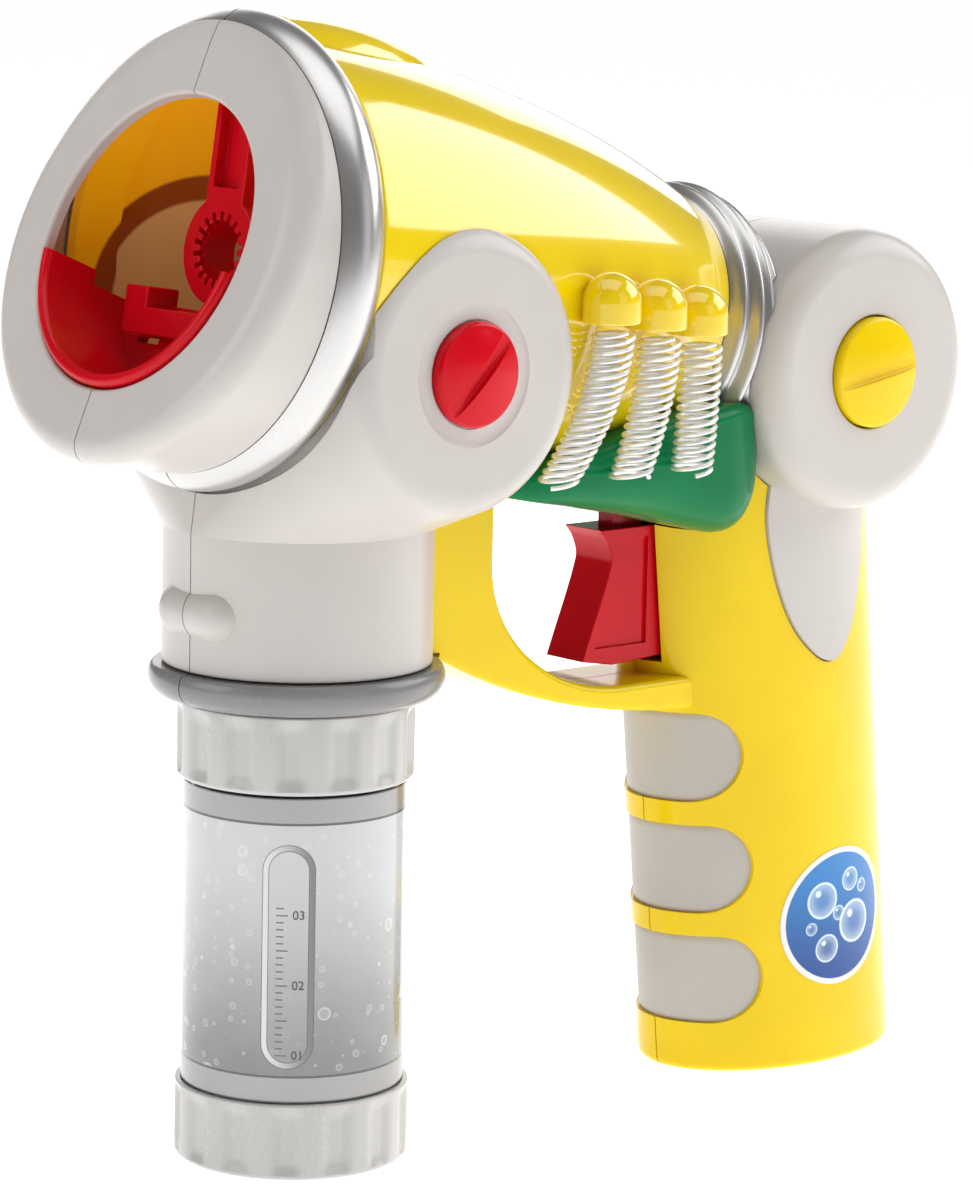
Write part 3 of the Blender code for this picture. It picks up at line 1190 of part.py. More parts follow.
def make_drive():
    outer = barrel_inside(PLATE_STATION + PLATE_THICK)
    rear = PLATE_STATION + PLATE_THICK
    second_end = SECOND_GEAR + GEAR_WIDTH
    plate = cylinder("gear_plate", outer, PLATE_STATION, rear, WHITE, BARREL)
    side_axis = moved(BARREL, 0.0, -GEAR_DISTANCE)
    pin = cylinder("gear_pin", AXLE_RADIUS, rear - 0.5 * PLATE_THICK, second_end, None, side_axis, TINY_TURN)
    join(plate, pin)
    hole = cylinder("plate_hole", 3.0 * SHAFT_RADIUS, PLATE_STATION - RUN, rear + GEAR_SPACE, None, BARREL,
                    TINY_TURN)
    cut(plate, hole, lever_room("plate_slot", PUMP_FLAT + 2.0 * RUN), HOSE_ROOM)
    bore = SHAFT_RADIUS + GAP
    pinion = extruded("motor_pinion", gear_outline(PINION_TEETH, -90.0), FIRST_GEAR, FIRST_GEAR + GEAR_WIDTH,
                      NYLON, BARREL)
    cut(pinion, cylinder("pinion_bore", bore, FIRST_GEAR - RUN, SECOND_GEAR, None, BARREL, TINY_TURN))
    half_pitch = 180.0 / WHEEL_TEETH
    wheel = extruded("compound_gear", gear_outline(WHEEL_TEETH, 90.0 + half_pitch), FIRST_GEAR,
                     FIRST_GEAR + GEAR_WIDTH, NYLON, side_axis)
    small = extruded("compound_small", gear_outline(PINION_TEETH, 90.0), FIRST_GEAR + 0.5 * GEAR_WIDTH,
                     second_end - 0.5 * GEAR_SPACE, None, side_axis)
    join(wheel, small)
    axle_bore = AXLE_RADIUS + AXLE_RUN
    cut(wheel, cylinder("compound_bore", axle_bore, FIRST_GEAR - RUN, ROTOR_STATION + RUN, None, side_axis,
                        TINY_TURN))
    rotor = extruded("pump_rotor", gear_outline(WHEEL_TEETH, -90.0 + half_pitch), SECOND_GEAR, second_end,
                     NYLON, BARREL)
    join(rotor, cylinder("rotor_hub", ROTOR_ORBIT - 0.3 * ROLLER_RADIUS, SECOND_GEAR + 0.5 * GEAR_WIDTH,
                         ROTOR_STATION + ROTOR_LENGTH, None, BARREL, SMALL_TURN))
    work = bmesh.new()
    for i in range(ROLLER_COUNT):
        turn = Matrix.Rotation(TAU * i / ROLLER_COUNT, 4, "Z")
        low = second_end - 0.5 * GAP
        high = ROTOR_STATION + ROTOR_LENGTH - GAP
        place = turn @ Matrix.Translation((ROTOR_ORBIT, 0.0, 0.5 * (low + high)))
        bmesh.ops.create_cone(work, cap_ends=True, segments=TINY_TURN, radius1=ROLLER_RADIUS,
                              radius2=ROLLER_RADIUS, depth=high - low, matrix=place)
    join(rotor, from_bmesh("rotor_rollers", work, None, BARREL))
    cut(rotor, cylinder("rotor_bore", axle_bore, SECOND_GEAR - RUN, PUMP_STATION, None, BARREL, TINY_TURN))
    plate_end = PUMP_STATION + PLATE_THICK
    rim = barrel_inside(plate_end)
    cup_front = ROTOR_STATION + RUN
    profile = [(0.0, SECOND_GEAR), (AXLE_RADIUS, SECOND_GEAR), (AXLE_RADIUS, PUMP_STATION),
               (PUMP_RADIUS - PUMP_WALL, PUMP_STATION), (PUMP_RADIUS - PUMP_WALL, cup_front),
               (PUMP_RADIUS, cup_front), (PUMP_RADIUS, PUMP_STATION), (rim, PUMP_STATION),
               (rim, plate_end), (0.0, plate_end)]
    pump = turned("pump_housing", profile, WHITE, BARREL)
    below = box("pump_flat", (-REACH, -PUMP_FLAT, -REACH), (REACH, REACH, REACH), None, BARREL)
    cut(pump, below, HOSE_ROOM)
    tube("hose", hose_route(), HOSE_RADIUS, 1, HOSE)


def make_wand():
    name = "bubble_wand"
    rear = WAND_STATION + WAND_THICK
    wand = cylinder(name, WAND_RADIUS, WAND_STATION, rear, RED, BARREL)
    top = math.sqrt((SPIGOT_RADIUS - WALL - GAP) ** 2 - WAND_ARM_HALF_WIDTH ** 2)
    arm_foot = 0.5 * (WAND_RADIUS + WAND_BORE)
    arm = box(name + "_arm", (-WAND_ARM_HALF_WIDTH, -top, WAND_STATION),
              (WAND_ARM_HALF_WIDTH, -arm_foot, WAND_STATION + WAND_ARM_DEPTH), None, BARREL)
    trough = WAND_ARM_HALF_WIDTH - 0.8 * WALL
    cut(arm, box(name + "_trough", (-trough, -top + WALL, WAND_STATION - WALL),
                 (trough, -WAND_RADIUS - 0.5 * WALL, WAND_STATION + WALL), None, BARREL))
    join(wand, arm)
    star = []
    for i in range(2 * WAND_NOTCHES):
        radius = WAND_BORE + (0.5 * WAND_NOTCH if i % 2 else -0.5 * WAND_NOTCH)
        turn = TAU * i / (2 * WAND_NOTCHES)
        star.append((radius * math.cos(turn), radius * math.sin(turn)))
    return cut(wand, extruded(name + "_star", star, WAND_STATION - WALL, WAND_STATION + 2.0 * WAND_ARM_DEPTH,
                              None, BARREL))


def make_tray():
    outer = MOUTH_RADIUS - GAP
    inner = outer - TRAY_WALL
    floor = TRAY_DEPTH - TRAY_WALL
    profile = [(0.0, floor), (inner, floor), (inner, -TRAY_PROUD), (outer, -TRAY_PROUD), (outer, TRAY_DEPTH),
               (0.0, TRAY_DEPTH)]
    tray = turned("drip_tray", profile, RED, FACE, LARGE_TURN)
    over = box("tray_over", (-REACH, -REACH, -REACH), (REACH, -TRAY_TOP, REACH), None, FACE)
    wide = WIPER_HALF_WIDTH + RUN
    notch = box("tray_notch", (-WIPER_ASIDE - wide, -REACH, 0.5 * TRAY_DEPTH),
                (-WIPER_ASIDE + wide, -TRAY_NOTCH, REACH), None, FACE)
    back = box("tray_back", (-REACH, -REACH, 0.5 * TRAY_DEPTH), (REACH, -TRAY_BACK, REACH), None, FACE)
    drain = cylinder("tray_drain", TRAY_WALL, 0.8 * floor, 2.0 * TRAY_DEPTH, None,
                     moved(FACE, 0.0, 0.8 * inner), TINY_TURN)
    return cut(tray, over, back, notch, drain)


def make_wiper():
    line = [in_side_view(along, up) for along, up in WIPER_LINE]
    outline = strip(line, 0.5 * WIPER_BAR)
    pivot = in_side_view(*WIPER_PIVOT)
    lever = extruded("wiper_lever", outline, -WIPER_HALF_WIDTH, WIPER_HALF_WIDTH, RED)
    eye = Matrix.Translation((0.0, pivot[0], pivot[1])) @ across(LEFT)
    wide = WIPER_HALF_WIDTH
    join(lever, cylinder("wiper_eye", WIPER_EYE_RADIUS, -wide, wide, None, eye, SMALL_TURN))
    nub_top = 0.5 * (WIPER_PIVOT[1] + WIPER_LINE[1][1])
    nub = box("wiper_nub", (-ARM_HALF_WIDTH, -nub_top, WIPER_NUB[0] - 0.5 * WIPER_NUB_LENGTH),
              (ARM_HALF_WIDTH, -WIPER_NUB[1], WIPER_NUB[0] + 0.5 * WIPER_NUB_LENGTH), None, BARREL)
    half = 0.5 * WIPER_BAR
    outside = -WIPER_ASIDE - WIPER_HALF_WIDTH
    along, up = WIPER_BEND
    cross = box("wiper_cross", (outside, -up - half, along - half),
                (WIPER_HALF_WIDTH, -up + half, along + half), None, BARREL)
    front = box("wiper_front_bar", (outside, -up - half, WIPER_BLADE[0] + GAP),
                (outside + 2.0 * WIPER_HALF_WIDTH, -up + half - GAP, along), None, BARREL)
    blade = box("wiper_blade", (outside - GAP, -WIPER_BLADE_HIGH, WIPER_BLADE[0]),
                (WIPER_BLADE_HALF_WIDTH, -WIPER_BLADE_LOW, WIPER_BLADE[1]), None, BARREL)
    join(lever, nub, cross, front, blade)
    cut(lever, cylinder("wiper_bore", WIPER_PIN_RADIUS + AXLE_RUN, -REACH, REACH, None, eye, TINY_TURN))
    hinge = bpy.data.objects.new("wiper_hinge", None)
    hinge.location = (0.0, pivot[0], pivot[1])
    PARTS.objects.link(hinge)
    lever.parent = hinge
    lever.matrix_parent_inverse = Matrix.Translation((0.0, -pivot[0], -pivot[1]))
    inside = barrel_inside(WIPER_PIVOT[0] + WIPER_PIN_RADIUS)
    reach = math.sqrt(inside ** 2 - (WIPER_PIVOT[1] - WIPER_PIN_RADIUS) ** 2)
    cylinder("wiper_pin", WIPER_PIN_RADIUS, -reach, reach, STEEL, eye, TINY_TURN)


def main():
    arm_slot, arm_room = arm_rooms()
    ear_place = Matrix.Translation((0.0, EAR_Y, EAR_Z))
    ear_seat = EAR_FACE - EAR_SEAT + GAP
    drum_seat = DRUM_FACE - DISH_DEPTH - DRUM_SEAT + GAP
    for side in (LEFT, RIGHT):
        word = SIDE_NAMES[side]
        make_bezel(side)
        make_muzzle_ring(side)
        make_barrel(side, arm_slot)
        make_socket(side)
        make_knob("ear_knob_" + word, side, ear_place, EAR_KNOB_RADIUS, ear_seat,
                  EAR_FACE + KNOB_RISE, 45.0, RED)
        make_collar_ring(side)
        make_rear_housing(side)
        make_knob("rear_knob_" + word, side, DRUM_PLACE, REAR_KNOB_RADIUS, drum_seat,
                  DRUM_FACE + KNOB_RISE, 10.0, YELLOW)
        make_pod(side, arm_room)
        make_grip(side, arm_room)
        for index in range(DOME_COUNT):
            make_side_spring(index, side)
    make_bottle()
    make_bellows()
    for index in range(3):
        make_pad(index)
    make_door()
    make_trigger()
    make_trigger_spring()
    make_switch()
    make_batteries()
    make_motor_and_fan()
    make_drive()
    make_wand()
    make_tray()
    make_wiper()


main()
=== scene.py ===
"""Looks of the battery bubble gun: finer shells, finishes, studio and camera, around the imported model."""

import math

import bmesh
import bpy
from mathutils import Matrix, Vector


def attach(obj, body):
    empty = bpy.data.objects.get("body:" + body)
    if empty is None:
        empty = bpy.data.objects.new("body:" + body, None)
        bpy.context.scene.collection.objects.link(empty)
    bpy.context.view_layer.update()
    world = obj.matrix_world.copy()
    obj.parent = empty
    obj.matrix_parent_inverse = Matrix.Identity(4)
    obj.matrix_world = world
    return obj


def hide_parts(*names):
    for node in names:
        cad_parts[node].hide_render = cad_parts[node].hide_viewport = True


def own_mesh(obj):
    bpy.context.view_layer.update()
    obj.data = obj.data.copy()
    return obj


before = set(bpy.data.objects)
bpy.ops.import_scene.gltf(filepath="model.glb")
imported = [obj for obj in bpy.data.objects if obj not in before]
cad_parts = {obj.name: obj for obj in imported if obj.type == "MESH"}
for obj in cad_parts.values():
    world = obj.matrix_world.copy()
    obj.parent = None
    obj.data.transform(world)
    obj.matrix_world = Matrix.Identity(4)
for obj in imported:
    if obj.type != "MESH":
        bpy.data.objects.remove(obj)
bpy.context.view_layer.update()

TAU = 2.0 * math.pi

# Sizes of the gun, in metres and degrees
GAP = 0.0003             # between pieces that fit together
SEAM = 0.00013           # half of the visible line between moulded halves
WALL = 0.0020
SHELL_EDGE = 0.0004      # rounding of small moulded edges

# Barrel axis: it starts at the muzzle and falls towards the rear
AXIS_FRONT_Y = -0.0225
AXIS_FRONT_Z = 0.1527
AXIS_FALL = 8.5

# Muzzle: bezel, and the bead ring behind it
BEZEL_RADIUS = 0.0362
BEZEL_EDGE = 0.0045
FACE_LEAN = 14.5
FACE_STANDOFF = 0.0102
MOUTH_RADIUS = 0.0248
MOUTH_ROUNDING = 0.0007
RING_LENGTH = 0.0084
RING_BEAD = 0.0026
BEAD_POWER = 0.8         # below 1 the bead is fuller than a plain wave

# Barrel with its hump and side domes
SPIGOT_RADIUS = 0.0336
BARREL_FRONT = 0.0090
BARREL_FRONT_RADIUS = 0.0362
BARREL_REAR_RADIUS = 0.0205
BARREL_LENGTH = 0.0920
BARREL_REAR = BARREL_FRONT + BARREL_LENGTH
BARREL_CURVE = 2.3
HUMP_STATION = 0.0190
HUMP_LENGTH = 0.0520
HUMP_WIDTH = 0.0260
HUMP_RISE = 0.0034
HUMP_DEPTH = 0.0090
DOME_FIRST = 0.0585
DOME_PITCH = 0.0132
DOME_COUNT = 3
DOME_RADIUS = 0.0049
DOME_SKIRT = 0.0034
DOME_STANDOFF = 0.0036

# Side springs, from the domes down to the pod
SPRING_RADIUS = 0.0037
SPRING_WIRE = 0.0008
SPRING_PITCH = 0.0015    # between curls
SPRING_TILT = 0.14       # fall of a curl towards the rear, as a slope
SPRING_FOOT_Z = 0.1131
SPRING_FOOT_SHIFTS = (-0.0013, 0.0004, 0.0014)
SPRING_BOW = 1.7         # above 1 the spring leaves its dome straight down
SPRING_STANDOFF = SPRING_RADIUS + 2.0 * GAP

# Bellows neck
BELLOWS_DEPTH = 0.0013
BELLOWS_PITCH = 0.0029
BELLOWS_LINE = (         # distance behind the barrel, radius over the ribs, drop below the barrel's axis
    (0.0000, 0.0216, 0.0000), (0.0022, 0.0232, 0.0008), (0.0045, 0.0245, 0.0019),
    (0.0085, 0.0240, 0.0028), (0.0125, 0.0218, 0.0034), (0.0174, 0.0182, 0.0038),
)
BELLOWS_BORE = 0.0125
BELLOWS_FULLNESS = 0.75  # below 1 the ribs are fuller than a plain wave

# Socket with its two ears, its lug and the collar under it
SOCKET_RADIUS = 0.0224
SOCKET_FLARE_Z = 0.1083
SOCKET_FOOT_Z = 0.0836
SOCKET_ROOF_Z = 0.0969
YOKE_LIP = 0.00003       # the ears' skin stands this far out from the cup
EAR_RADIUS = 0.0235
EAR_FACE = 0.0372
EAR_EDGE = 0.0045
EAR_Y = 0.0050
EAR_Z = 0.1343
EAR_SEAT = 0.0006
EAR_DISH_RADIUS = 0.0118
LUG_WIDTH = 0.0186
LUG_HEIGHT = 0.0090
LUG_RISE = 0.0016
LUG_Z = 0.0933
COLLAR_TUBE = 0.0034
COLLAR_RADIUS = 0.0212
COLLAR_Z = 0.0813

# Slotted knobs
EAR_KNOB_RADIUS = 0.0085
EAR_SLOT_TURN = 45.0
REAR_KNOB_RADIUS = 0.0097
REAR_SLOT_TURN = 10.0
KNOB_RISE = 0.0024
KNOB_EDGE = 0.35 * KNOB_RISE
KNOB_CROWN = 0.4 * KNOB_RISE
KNOB_SLOT = 0.0024

# Bottle with its fluted rings and its label
BOTTLE_RADIUS = 0.0185
BOTTLE_WALL = 0.0012
BASE_CUP_RADIUS = 0.0195
BASE_CUP_HEIGHT = 0.0128
BASE_CUP_EDGE = 0.0030
SHOULDER_Z = 0.0641
CAP_RADIUS = 0.0197
CAP_HEIGHT = 0.0130
FLUTE_COUNT = 14
FLUTE_DEPTH = 0.0008
FLUTE_POINTS = 12        # round one groove
FLUTE_LAND = 0.20        # half of the ridge between grooves, as a share of a groove's pitch
FLUTE_SLOPE = 0.12
FLUTE_TURN = -0.045
FLUTE_ENDS = ((0.10, 0.35), (0.16, 0.8), (0.24, 1.0), (0.76, 1.0), (0.84, 0.8), (0.90, 0.35))  # height, depth
RING_EDGE = 0.0008       # rounding of the bottle's rings
NECK_RADIUS = 0.0140
NECK_TOP_Z = 0.0913
LABEL_LIFT = 0.00012
LABEL_LOW_Z = 0.0131
LABEL_HIGH_Z = 0.0639

# Rear housing: a drum across the gun with a tongue down each side of the grip
DRUM_Y = 0.1070
DRUM_Z = 0.1273
DRUM_RADIUS = 0.0248
DRUM_FACE = 0.0270
DRUM_EDGE = 0.0050
DRUM_SEAT = 0.0032
TONGUE_RISE = 0.0006
TONGUE_DEPTH = 0.0016
TONGUE_OUTLINE = (       # Y, Z
    (0.0925, 0.1093), (0.0922, 0.1005), (0.0948, 0.0900), (0.0990, 0.0815), (0.1045, 0.0760),
    (0.1090, 0.0746), (0.1125, 0.0772), (0.1158, 0.0840), (0.1182, 0.0950), (0.1190, 0.1093),
)

# Pod under the barrel
POD_CORNER = 0.0080
POD_LIP = 0.0020
POD_SECTIONS = (         # Y, half width, underside, upper edge
    (0.0300, 0.0190, 0.1101, 0.1131), (0.0360, 0.0218, 0.1089, 0.1153), (0.0450, 0.0226, 0.1073, 0.1179),
    (0.0600, 0.0230, 0.1043, 0.1209), (0.0740, 0.0235, 0.1009, 0.1225), (0.0795, 0.0230, 0.0999, 0.1232),
    (0.0832, 0.0217, 0.1004, 0.1226), (0.0862, 0.0196, 0.1034, 0.1205), (0.0886, 0.0165, 0.1085, 0.1170),
)

# Grip with its finger pads, battery door and sticker
GRIP_HALF_DEPTH = 0.0272
GRIP_HALF_WIDTH = 0.0176
GRIP_FOOT_Y = 0.1125
GRIP_LEAN = 0.1070       # forwards, as a slope
GRIP_TOP_Z = 0.1153
GRIP_WALL = 0.0036
GRIP_FLOOR = 0.0026
GRIP_FOOT_EDGE = 0.0015
PAD_COUNT = 3
PAD_ROUNDING = 0.0012
PAD_EDGE_DROP = 0.6      # share of the rounding by which a pad's edge sinks
PAD_HEIGHT = 0.0160
PAD_PITCH = 0.0205
PAD_LOW_Z = 0.0173
PAD_REACH = 0.0130
PAD_STEP = 0.0008        # each pad reaches less far than the one below it
PAD_SINK = 0.0012
PAD_THICK = 0.0013
PAD_COLUMNS = 72         # of facets
PAD_ROWS = 36
DOOR_HALF_WIDTH = 0.0125
DOOR_HEIGHT = 0.0560
DOOR_LOW_Z = 0.0070
DOOR_THICK = 0.0024
STICKER_RADIUS = 0.0126
STICKER_STRETCH = 1.1    # width over height
STICKER_Y = 0.1130
STICKER_Z = 0.0272
STICKER_THICK = 0.0001

# Guard, and the opening for the finger
GUARD_HALF_WIDTH = 0.0095
GUARD_START = (0.0190, 0.0848)
GUARD_PULL = (0.0480, 0.0678)
GUARD_END = (0.0860, 0.0673)
GUARD_TOP_Z = 0.1143
GUARD_EDGE = 0.0012      # rounding of the guard's edges
FINGER_Y = 0.0660
FINGER_Z = 0.0973
FINGER_HALF_LENGTH = 0.0310
FINGER_HALF_HEIGHT = 0.0240

# Trigger with its stop block, its arm up into the pod, and its return spring
TRIGGER_HALF_WIDTH = 0.0047
TRIGGER_TOP_Z = 0.1001
TRIGGER_FOOT_Z = 0.0773
TRIGGER_LINE = (         # Y, Z down the front, from the top lip
    (0.0636, TRIGGER_TOP_Z), (0.0652, 0.0982), (0.0664, 0.0952), (0.0659, 0.0925), (0.0641, 0.0875),
    (0.0621, 0.0826), (0.0600, TRIGGER_FOOT_Z),
)
TRIGGER_FRONT_Y = 0.0672
TRIGGER_REAR_Y = 0.0880
TRIGGER_PANEL = 0.0006
TRIGGER_MARGIN = 0.0020  # round the panel
TRIGGER_EDGE = 0.0006
TRIGGER_SLOT = 0.0006    # room round what moves
TRIGGER_TRAVEL = 0.0080
STOP_HALF_WIDTH = 0.0068
STOP_FRONT_Y = 0.0832
STOP_TOP_Z = 0.0982
ARM_HALF_WIDTH = 0.0018
ARM_POST = (0.0690, 0.0760)
ARM_TIP = (0.0482, 0.0582)
ARM_TOP_Z = 0.1113
ARM_ROOM_LOW_Z = 0.1085
ARM_ROOM_HIGH_Z = 0.1181
TRIGGER_ARM = (
    (ARM_POST[0], 0.0968), (ARM_POST[1], 0.0968), (ARM_POST[1], ARM_TOP_Z), (ARM_TIP[1], ARM_TOP_Z),
    (ARM_TIP[1], 0.1172), (ARM_TIP[0], 0.1187), (ARM_TIP[0], ARM_ROOM_LOW_Z), (ARM_POST[0], ARM_ROOM_LOW_Z),
)
RIB_Y = 0.1020
RIB_THICK = 0.0025
RIB_LOW_Z = 0.0778
RIB_HIGH_Z = 0.0953
RETURN_SPRING_Z = 0.0908
RETURN_SPRING_RADIUS = 0.0030
RETURN_SPRING_WIRE = 0.0006
RETURN_SPRING_TURNS = 9

# Wiper lever, in stations along the barrel and heights over its axis
WIPER_LINE = ((0.0979, -0.0159), (0.0720, -0.0172), (0.0580, -0.0272), (0.0235, -0.0280), (0.0205, -0.0140))
WIPER_BAR = 0.0036
WIPER_HALF_WIDTH = 0.0022
WIPER_ASIDE = 0.0125
WIPER_BLADE = (-0.0008, 0.0022)
WIPER_BLADE_LOW = -0.0150
WIPER_BLADE_HIGH = -0.0105
WIPER_BLADE_HALF_WIDTH = 0.0085
WIPER_END_HIGH = -0.0072
WIPER_NUB = (0.0840, -0.0230)
WIPER_EYE_RADIUS = 0.0028
WIPER_BORE = 0.0014

# Bubble ring, tray and air duct
WAND_STATION = 0.0050
WAND_RADIUS = 0.0090
WAND_BORE = 0.0047
WAND_CROWN = 0.0062      # outer end of the slits round the bore
WAND_SLITS = 18
WAND_SLIT_WIDTH = 0.0008
WAND_SLIT_DEPTH = 0.0012
WAND_THICK = 0.0072
WAND_ARM_HALF_WIDTH = 0.0048
WAND_ARM_DEPTH = 0.0070
TRAY_WALL = 0.0022
TRAY_PROUD = 0.0008
TRAY_DEPTH = 0.0190
TRAY_TOP = -0.0035
TRAY_BACK = -0.0060
TRAY_NOTCH = -0.0126
DUCT_STATION = 0.0300
DUCT_THICK = 0.0020
DUCT_BORE = 0.0150
DUCT_RADIUS = 0.0330
SHROUD_THICK = 0.6 * DUCT_THICK
SHROUD_END = 0.0520

# Hose, with way-points in the barrel as (along, up, across)
HOSE_RADIUS = 0.0017
HOSE_FOOT_Z = 0.1008
HOSE_STRAIGHT = 0.00425
HOSE_RISE = (0.0040, 0.0060)
HOSE_TO_PUMP = ((0.0380, -0.0269, 0.0080), (0.0540, -0.0245, 0.0100), (0.0793, -0.0190, 0.0105),
                (0.0873, -0.0150, 0.0095), (0.0913, -0.0105, 0.0083))
HOSE_PUMP_STATION = 0.0913
HOSE_CIRCLE = 0.00905
HOSE_PUMP_TURN = range(-30, 211, 30)
HOSE_FROM_PUMP = ((0.0893, -0.0085, -0.0125), (0.0793, -0.0040, -0.0190), (0.0540, 0.0060, -0.0220),
                  (0.0300, 0.0180, -0.0180), (0.0272, 0.0240, -0.0080))
WAND_HOSE_END = 0.0123
WAND_HOSE_UP = 0.0260

# Facets round a full turn, and how meshes are joined and smoothed
FINE = 128
ROUND = 96
SMALL = 48
BARREL_ROWS = 28         # along the barrel
EDGE_STEPS = 3           # in a rounded edge
WIRE_POINTS = 20         # per curl
WIRE_STEPS = 3           # in the curve of a wire's section
WELD = 1e-6              # points this close become one
POINT = 0.001            # size of the plane that is merged into a line's first point
SMOOTH_ANGLE = 32.0
SOFT_ANGLE = 35.0        # edges sharper than this are rounded
REACH = 0.25             # longer than the gun, for cuts that go right through

# Frames: the barrel's Z runs rearwards and its Y down, the face's Z runs into the mouth,
# and the side frame lays a flat outline out as (Y, Z) and extrudes it along X
BARREL = (Matrix.Translation((0.0, AXIS_FRONT_Y, AXIS_FRONT_Z))
          @ Matrix.Rotation(math.radians(-90.0 - AXIS_FALL), 4, "X"))
FACE = (Matrix.Translation(BARREL @ Vector((0.0, 0.0, -FACE_STANDOFF)))
        @ Matrix.Rotation(math.radians(-90.0 - AXIS_FALL - FACE_LEAN), 4, "X"))
SIDE = Matrix(((0, 0, 1, 0), (1, 0, 0, 0), (0, 1, 0, 0), (0, 0, 0, 1)))
UPRIGHT = Matrix.Identity(4)
DRUM_PLACE = Matrix.Translation((0.0, DRUM_Y, DRUM_Z))
EAR_PLACE = Matrix.Translation((0.0, EAR_Y, EAR_Z))
LEFT = 1
RIGHT = -1
SIDE_NAMES = {LEFT: "left", RIGHT: "right"}


# Shaping tools

def choose(obj):
    """Make one object the active one, alone."""
    bpy.ops.object.select_all(action="DESELECT")
    obj.select_set(True)
    bpy.context.view_layer.objects.active = obj


def open_point(name, place):
    """Start a piece as one point, in edit mode."""
    bpy.ops.object.select_all(action="DESELECT")
    bpy.ops.mesh.primitive_plane_add(size=POINT)
    obj = bpy.context.active_object
    obj.name = name
    obj.data.name = name
    bpy.ops.object.mode_set(mode="EDIT")
    bpy.ops.mesh.select_all(action="SELECT")
    bpy.ops.mesh.merge(type="CENTER")
    bpy.ops.transform.translate(value=place)
    return obj


def draw_line(points):
    """Draw on from the selected point."""
    for here, there in zip(points, points[1:]):
        step = Vector(there) - Vector(here)
        bpy.ops.mesh.extrude_vertices_move(TRANSFORM_OT_translate={"value": step})


def close_line(obj):
    """Join the two ends of a drawn line."""
    bpy.ops.mesh.select_all(action="DESELECT")
    work = bmesh.from_edit_mesh(obj.data)
    for vert in work.verts:
        if len(vert.link_edges) == 1:
            vert.select_set(True)
    bmesh.update_edit_mesh(obj.data)
    bpy.ops.mesh.edge_face_add()
    bpy.ops.mesh.select_all(action="SELECT")


def close_skin():
    """Merge doubled points and turn all faces outwards."""
    bpy.ops.mesh.select_all(action="SELECT")
    bpy.ops.mesh.remove_doubles(threshold=WELD)
    bpy.ops.mesh.normals_make_consistent(inside=False)


def settle(obj, place=UPRIGHT):
    """Leave edit mode and lay the piece in its place, with the place in its mesh."""
    bpy.ops.object.mode_set(mode="OBJECT")
    choose(obj)
    obj.matrix_world = place
    bpy.ops.object.transform_apply(location=True, rotation=True, scale=True)
    return obj


def spun(name, profile, place=UPRIGHT, steps=ROUND, ring=False):
    """Spin (radius, height) points about Z; a ring's profile is a closed loop off the axis."""
    points = [(radius, 0.0, height) for radius, height in profile]
    obj = open_point(name, points[0])
    draw_line(points)
    if ring:
        close_line(obj)
    bpy.ops.mesh.select_all(action="SELECT")
    bpy.ops.mesh.spin(steps=steps, angle=TAU, center=(0.0, 0.0, 0.0), axis=(0.0, 0.0, 1.0))
    close_skin()
    return settle(obj, place)


def slab(name, outline, low, high):
    """A flat (Y, Z) outline, extruded from low to high across the gun."""
    points = [(u, v, low) for u, v in outline]
    obj = open_point(name, points[0])
    draw_line(points)
    close_line(obj)
    bpy.ops.mesh.edge_face_add()
    bpy.ops.mesh.extrude_region_move(TRANSFORM_OT_translate={"value": (0.0, 0.0, high - low)})
    close_skin()
    return settle(obj, SIDE)


def block(name, low, high, place=UPRIGHT, rounding=0.0):
    """A box between two corners, its edges rounded where a rounding is given."""
    bpy.ops.object.select_all(action="DESELECT")
    low = Vector(low)
    high = Vector(high)
    bpy.ops.mesh.primitive_cube_add(size=1.0)
    obj = bpy.context.active_object
    obj.name = name
    obj.matrix_world = Matrix.Translation(0.5 * (low + high)) @ Matrix.Diagonal((*(high - low), 1.0))
    bpy.ops.object.transform_apply(location=True, rotation=True, scale=True)
    bpy.ops.object.mode_set(mode="EDIT")
    bpy.ops.mesh.select_all(action="SELECT")
    if rounding:
        bpy.ops.mesh.bevel(offset=rounding, segments=EDGE_STEPS, affect="EDGES")
    close_skin()
    return settle(obj, place)


def move_ring(obj, section):
    """Lay the selected ring on a section's points."""
    work = bmesh.from_edit_mesh(obj.data)
    slot = work.verts.layers.int["slot"]
    for vert in work.verts:
        if vert.select:
            vert.co = section[vert[slot]]
    bmesh.update_edit_mesh(obj.data)


def lofted(name, sections, loop=False):
    """Extrude a ring from section to section; a loop's last section is bridged to its first."""
    count = len(sections[0])
    bpy.ops.object.select_all(action="DESELECT")
    bpy.ops.mesh.primitive_circle_add(vertices=count, radius=1.0, fill_type="NGON")
    obj = bpy.context.active_object
    obj.name = name
    obj.data.name = name
    slot = obj.data.attributes.new("slot", "INT", "POINT")
    for i in range(count):
        slot.data[i].value = i
    bpy.ops.object.mode_set(mode="EDIT")
    bpy.ops.mesh.select_all(action="SELECT")
    move_ring(obj, sections[0])
    for section in sections[1:]:
        bpy.ops.mesh.extrude_region_move(TRANSFORM_OT_translate={"value": (0.0, 0.0, 0.0)})
        move_ring(obj, section)
    if loop:
        bpy.ops.mesh.select_all(action="DESELECT")
        work = bmesh.from_edit_mesh(obj.data)
        for face in work.faces:
            if len(face.verts) == count:
                face.select_set(True)
        bmesh.update_edit_mesh(obj.data)
        bpy.ops.mesh.bridge_edge_loops()
    close_skin()
    bpy.ops.object.mode_set(mode="OBJECT")
    obj.data.attributes.remove(obj.data.attributes["slot"])
    return obj


def copy_of(obj, name):
    """A copy with a mesh of its own."""
    twin = obj.copy()
    twin.data = obj.data.copy()
    twin.name = name
    twin.data.name = name
    bpy.context.scene.collection.objects.link(twin)
    return twin


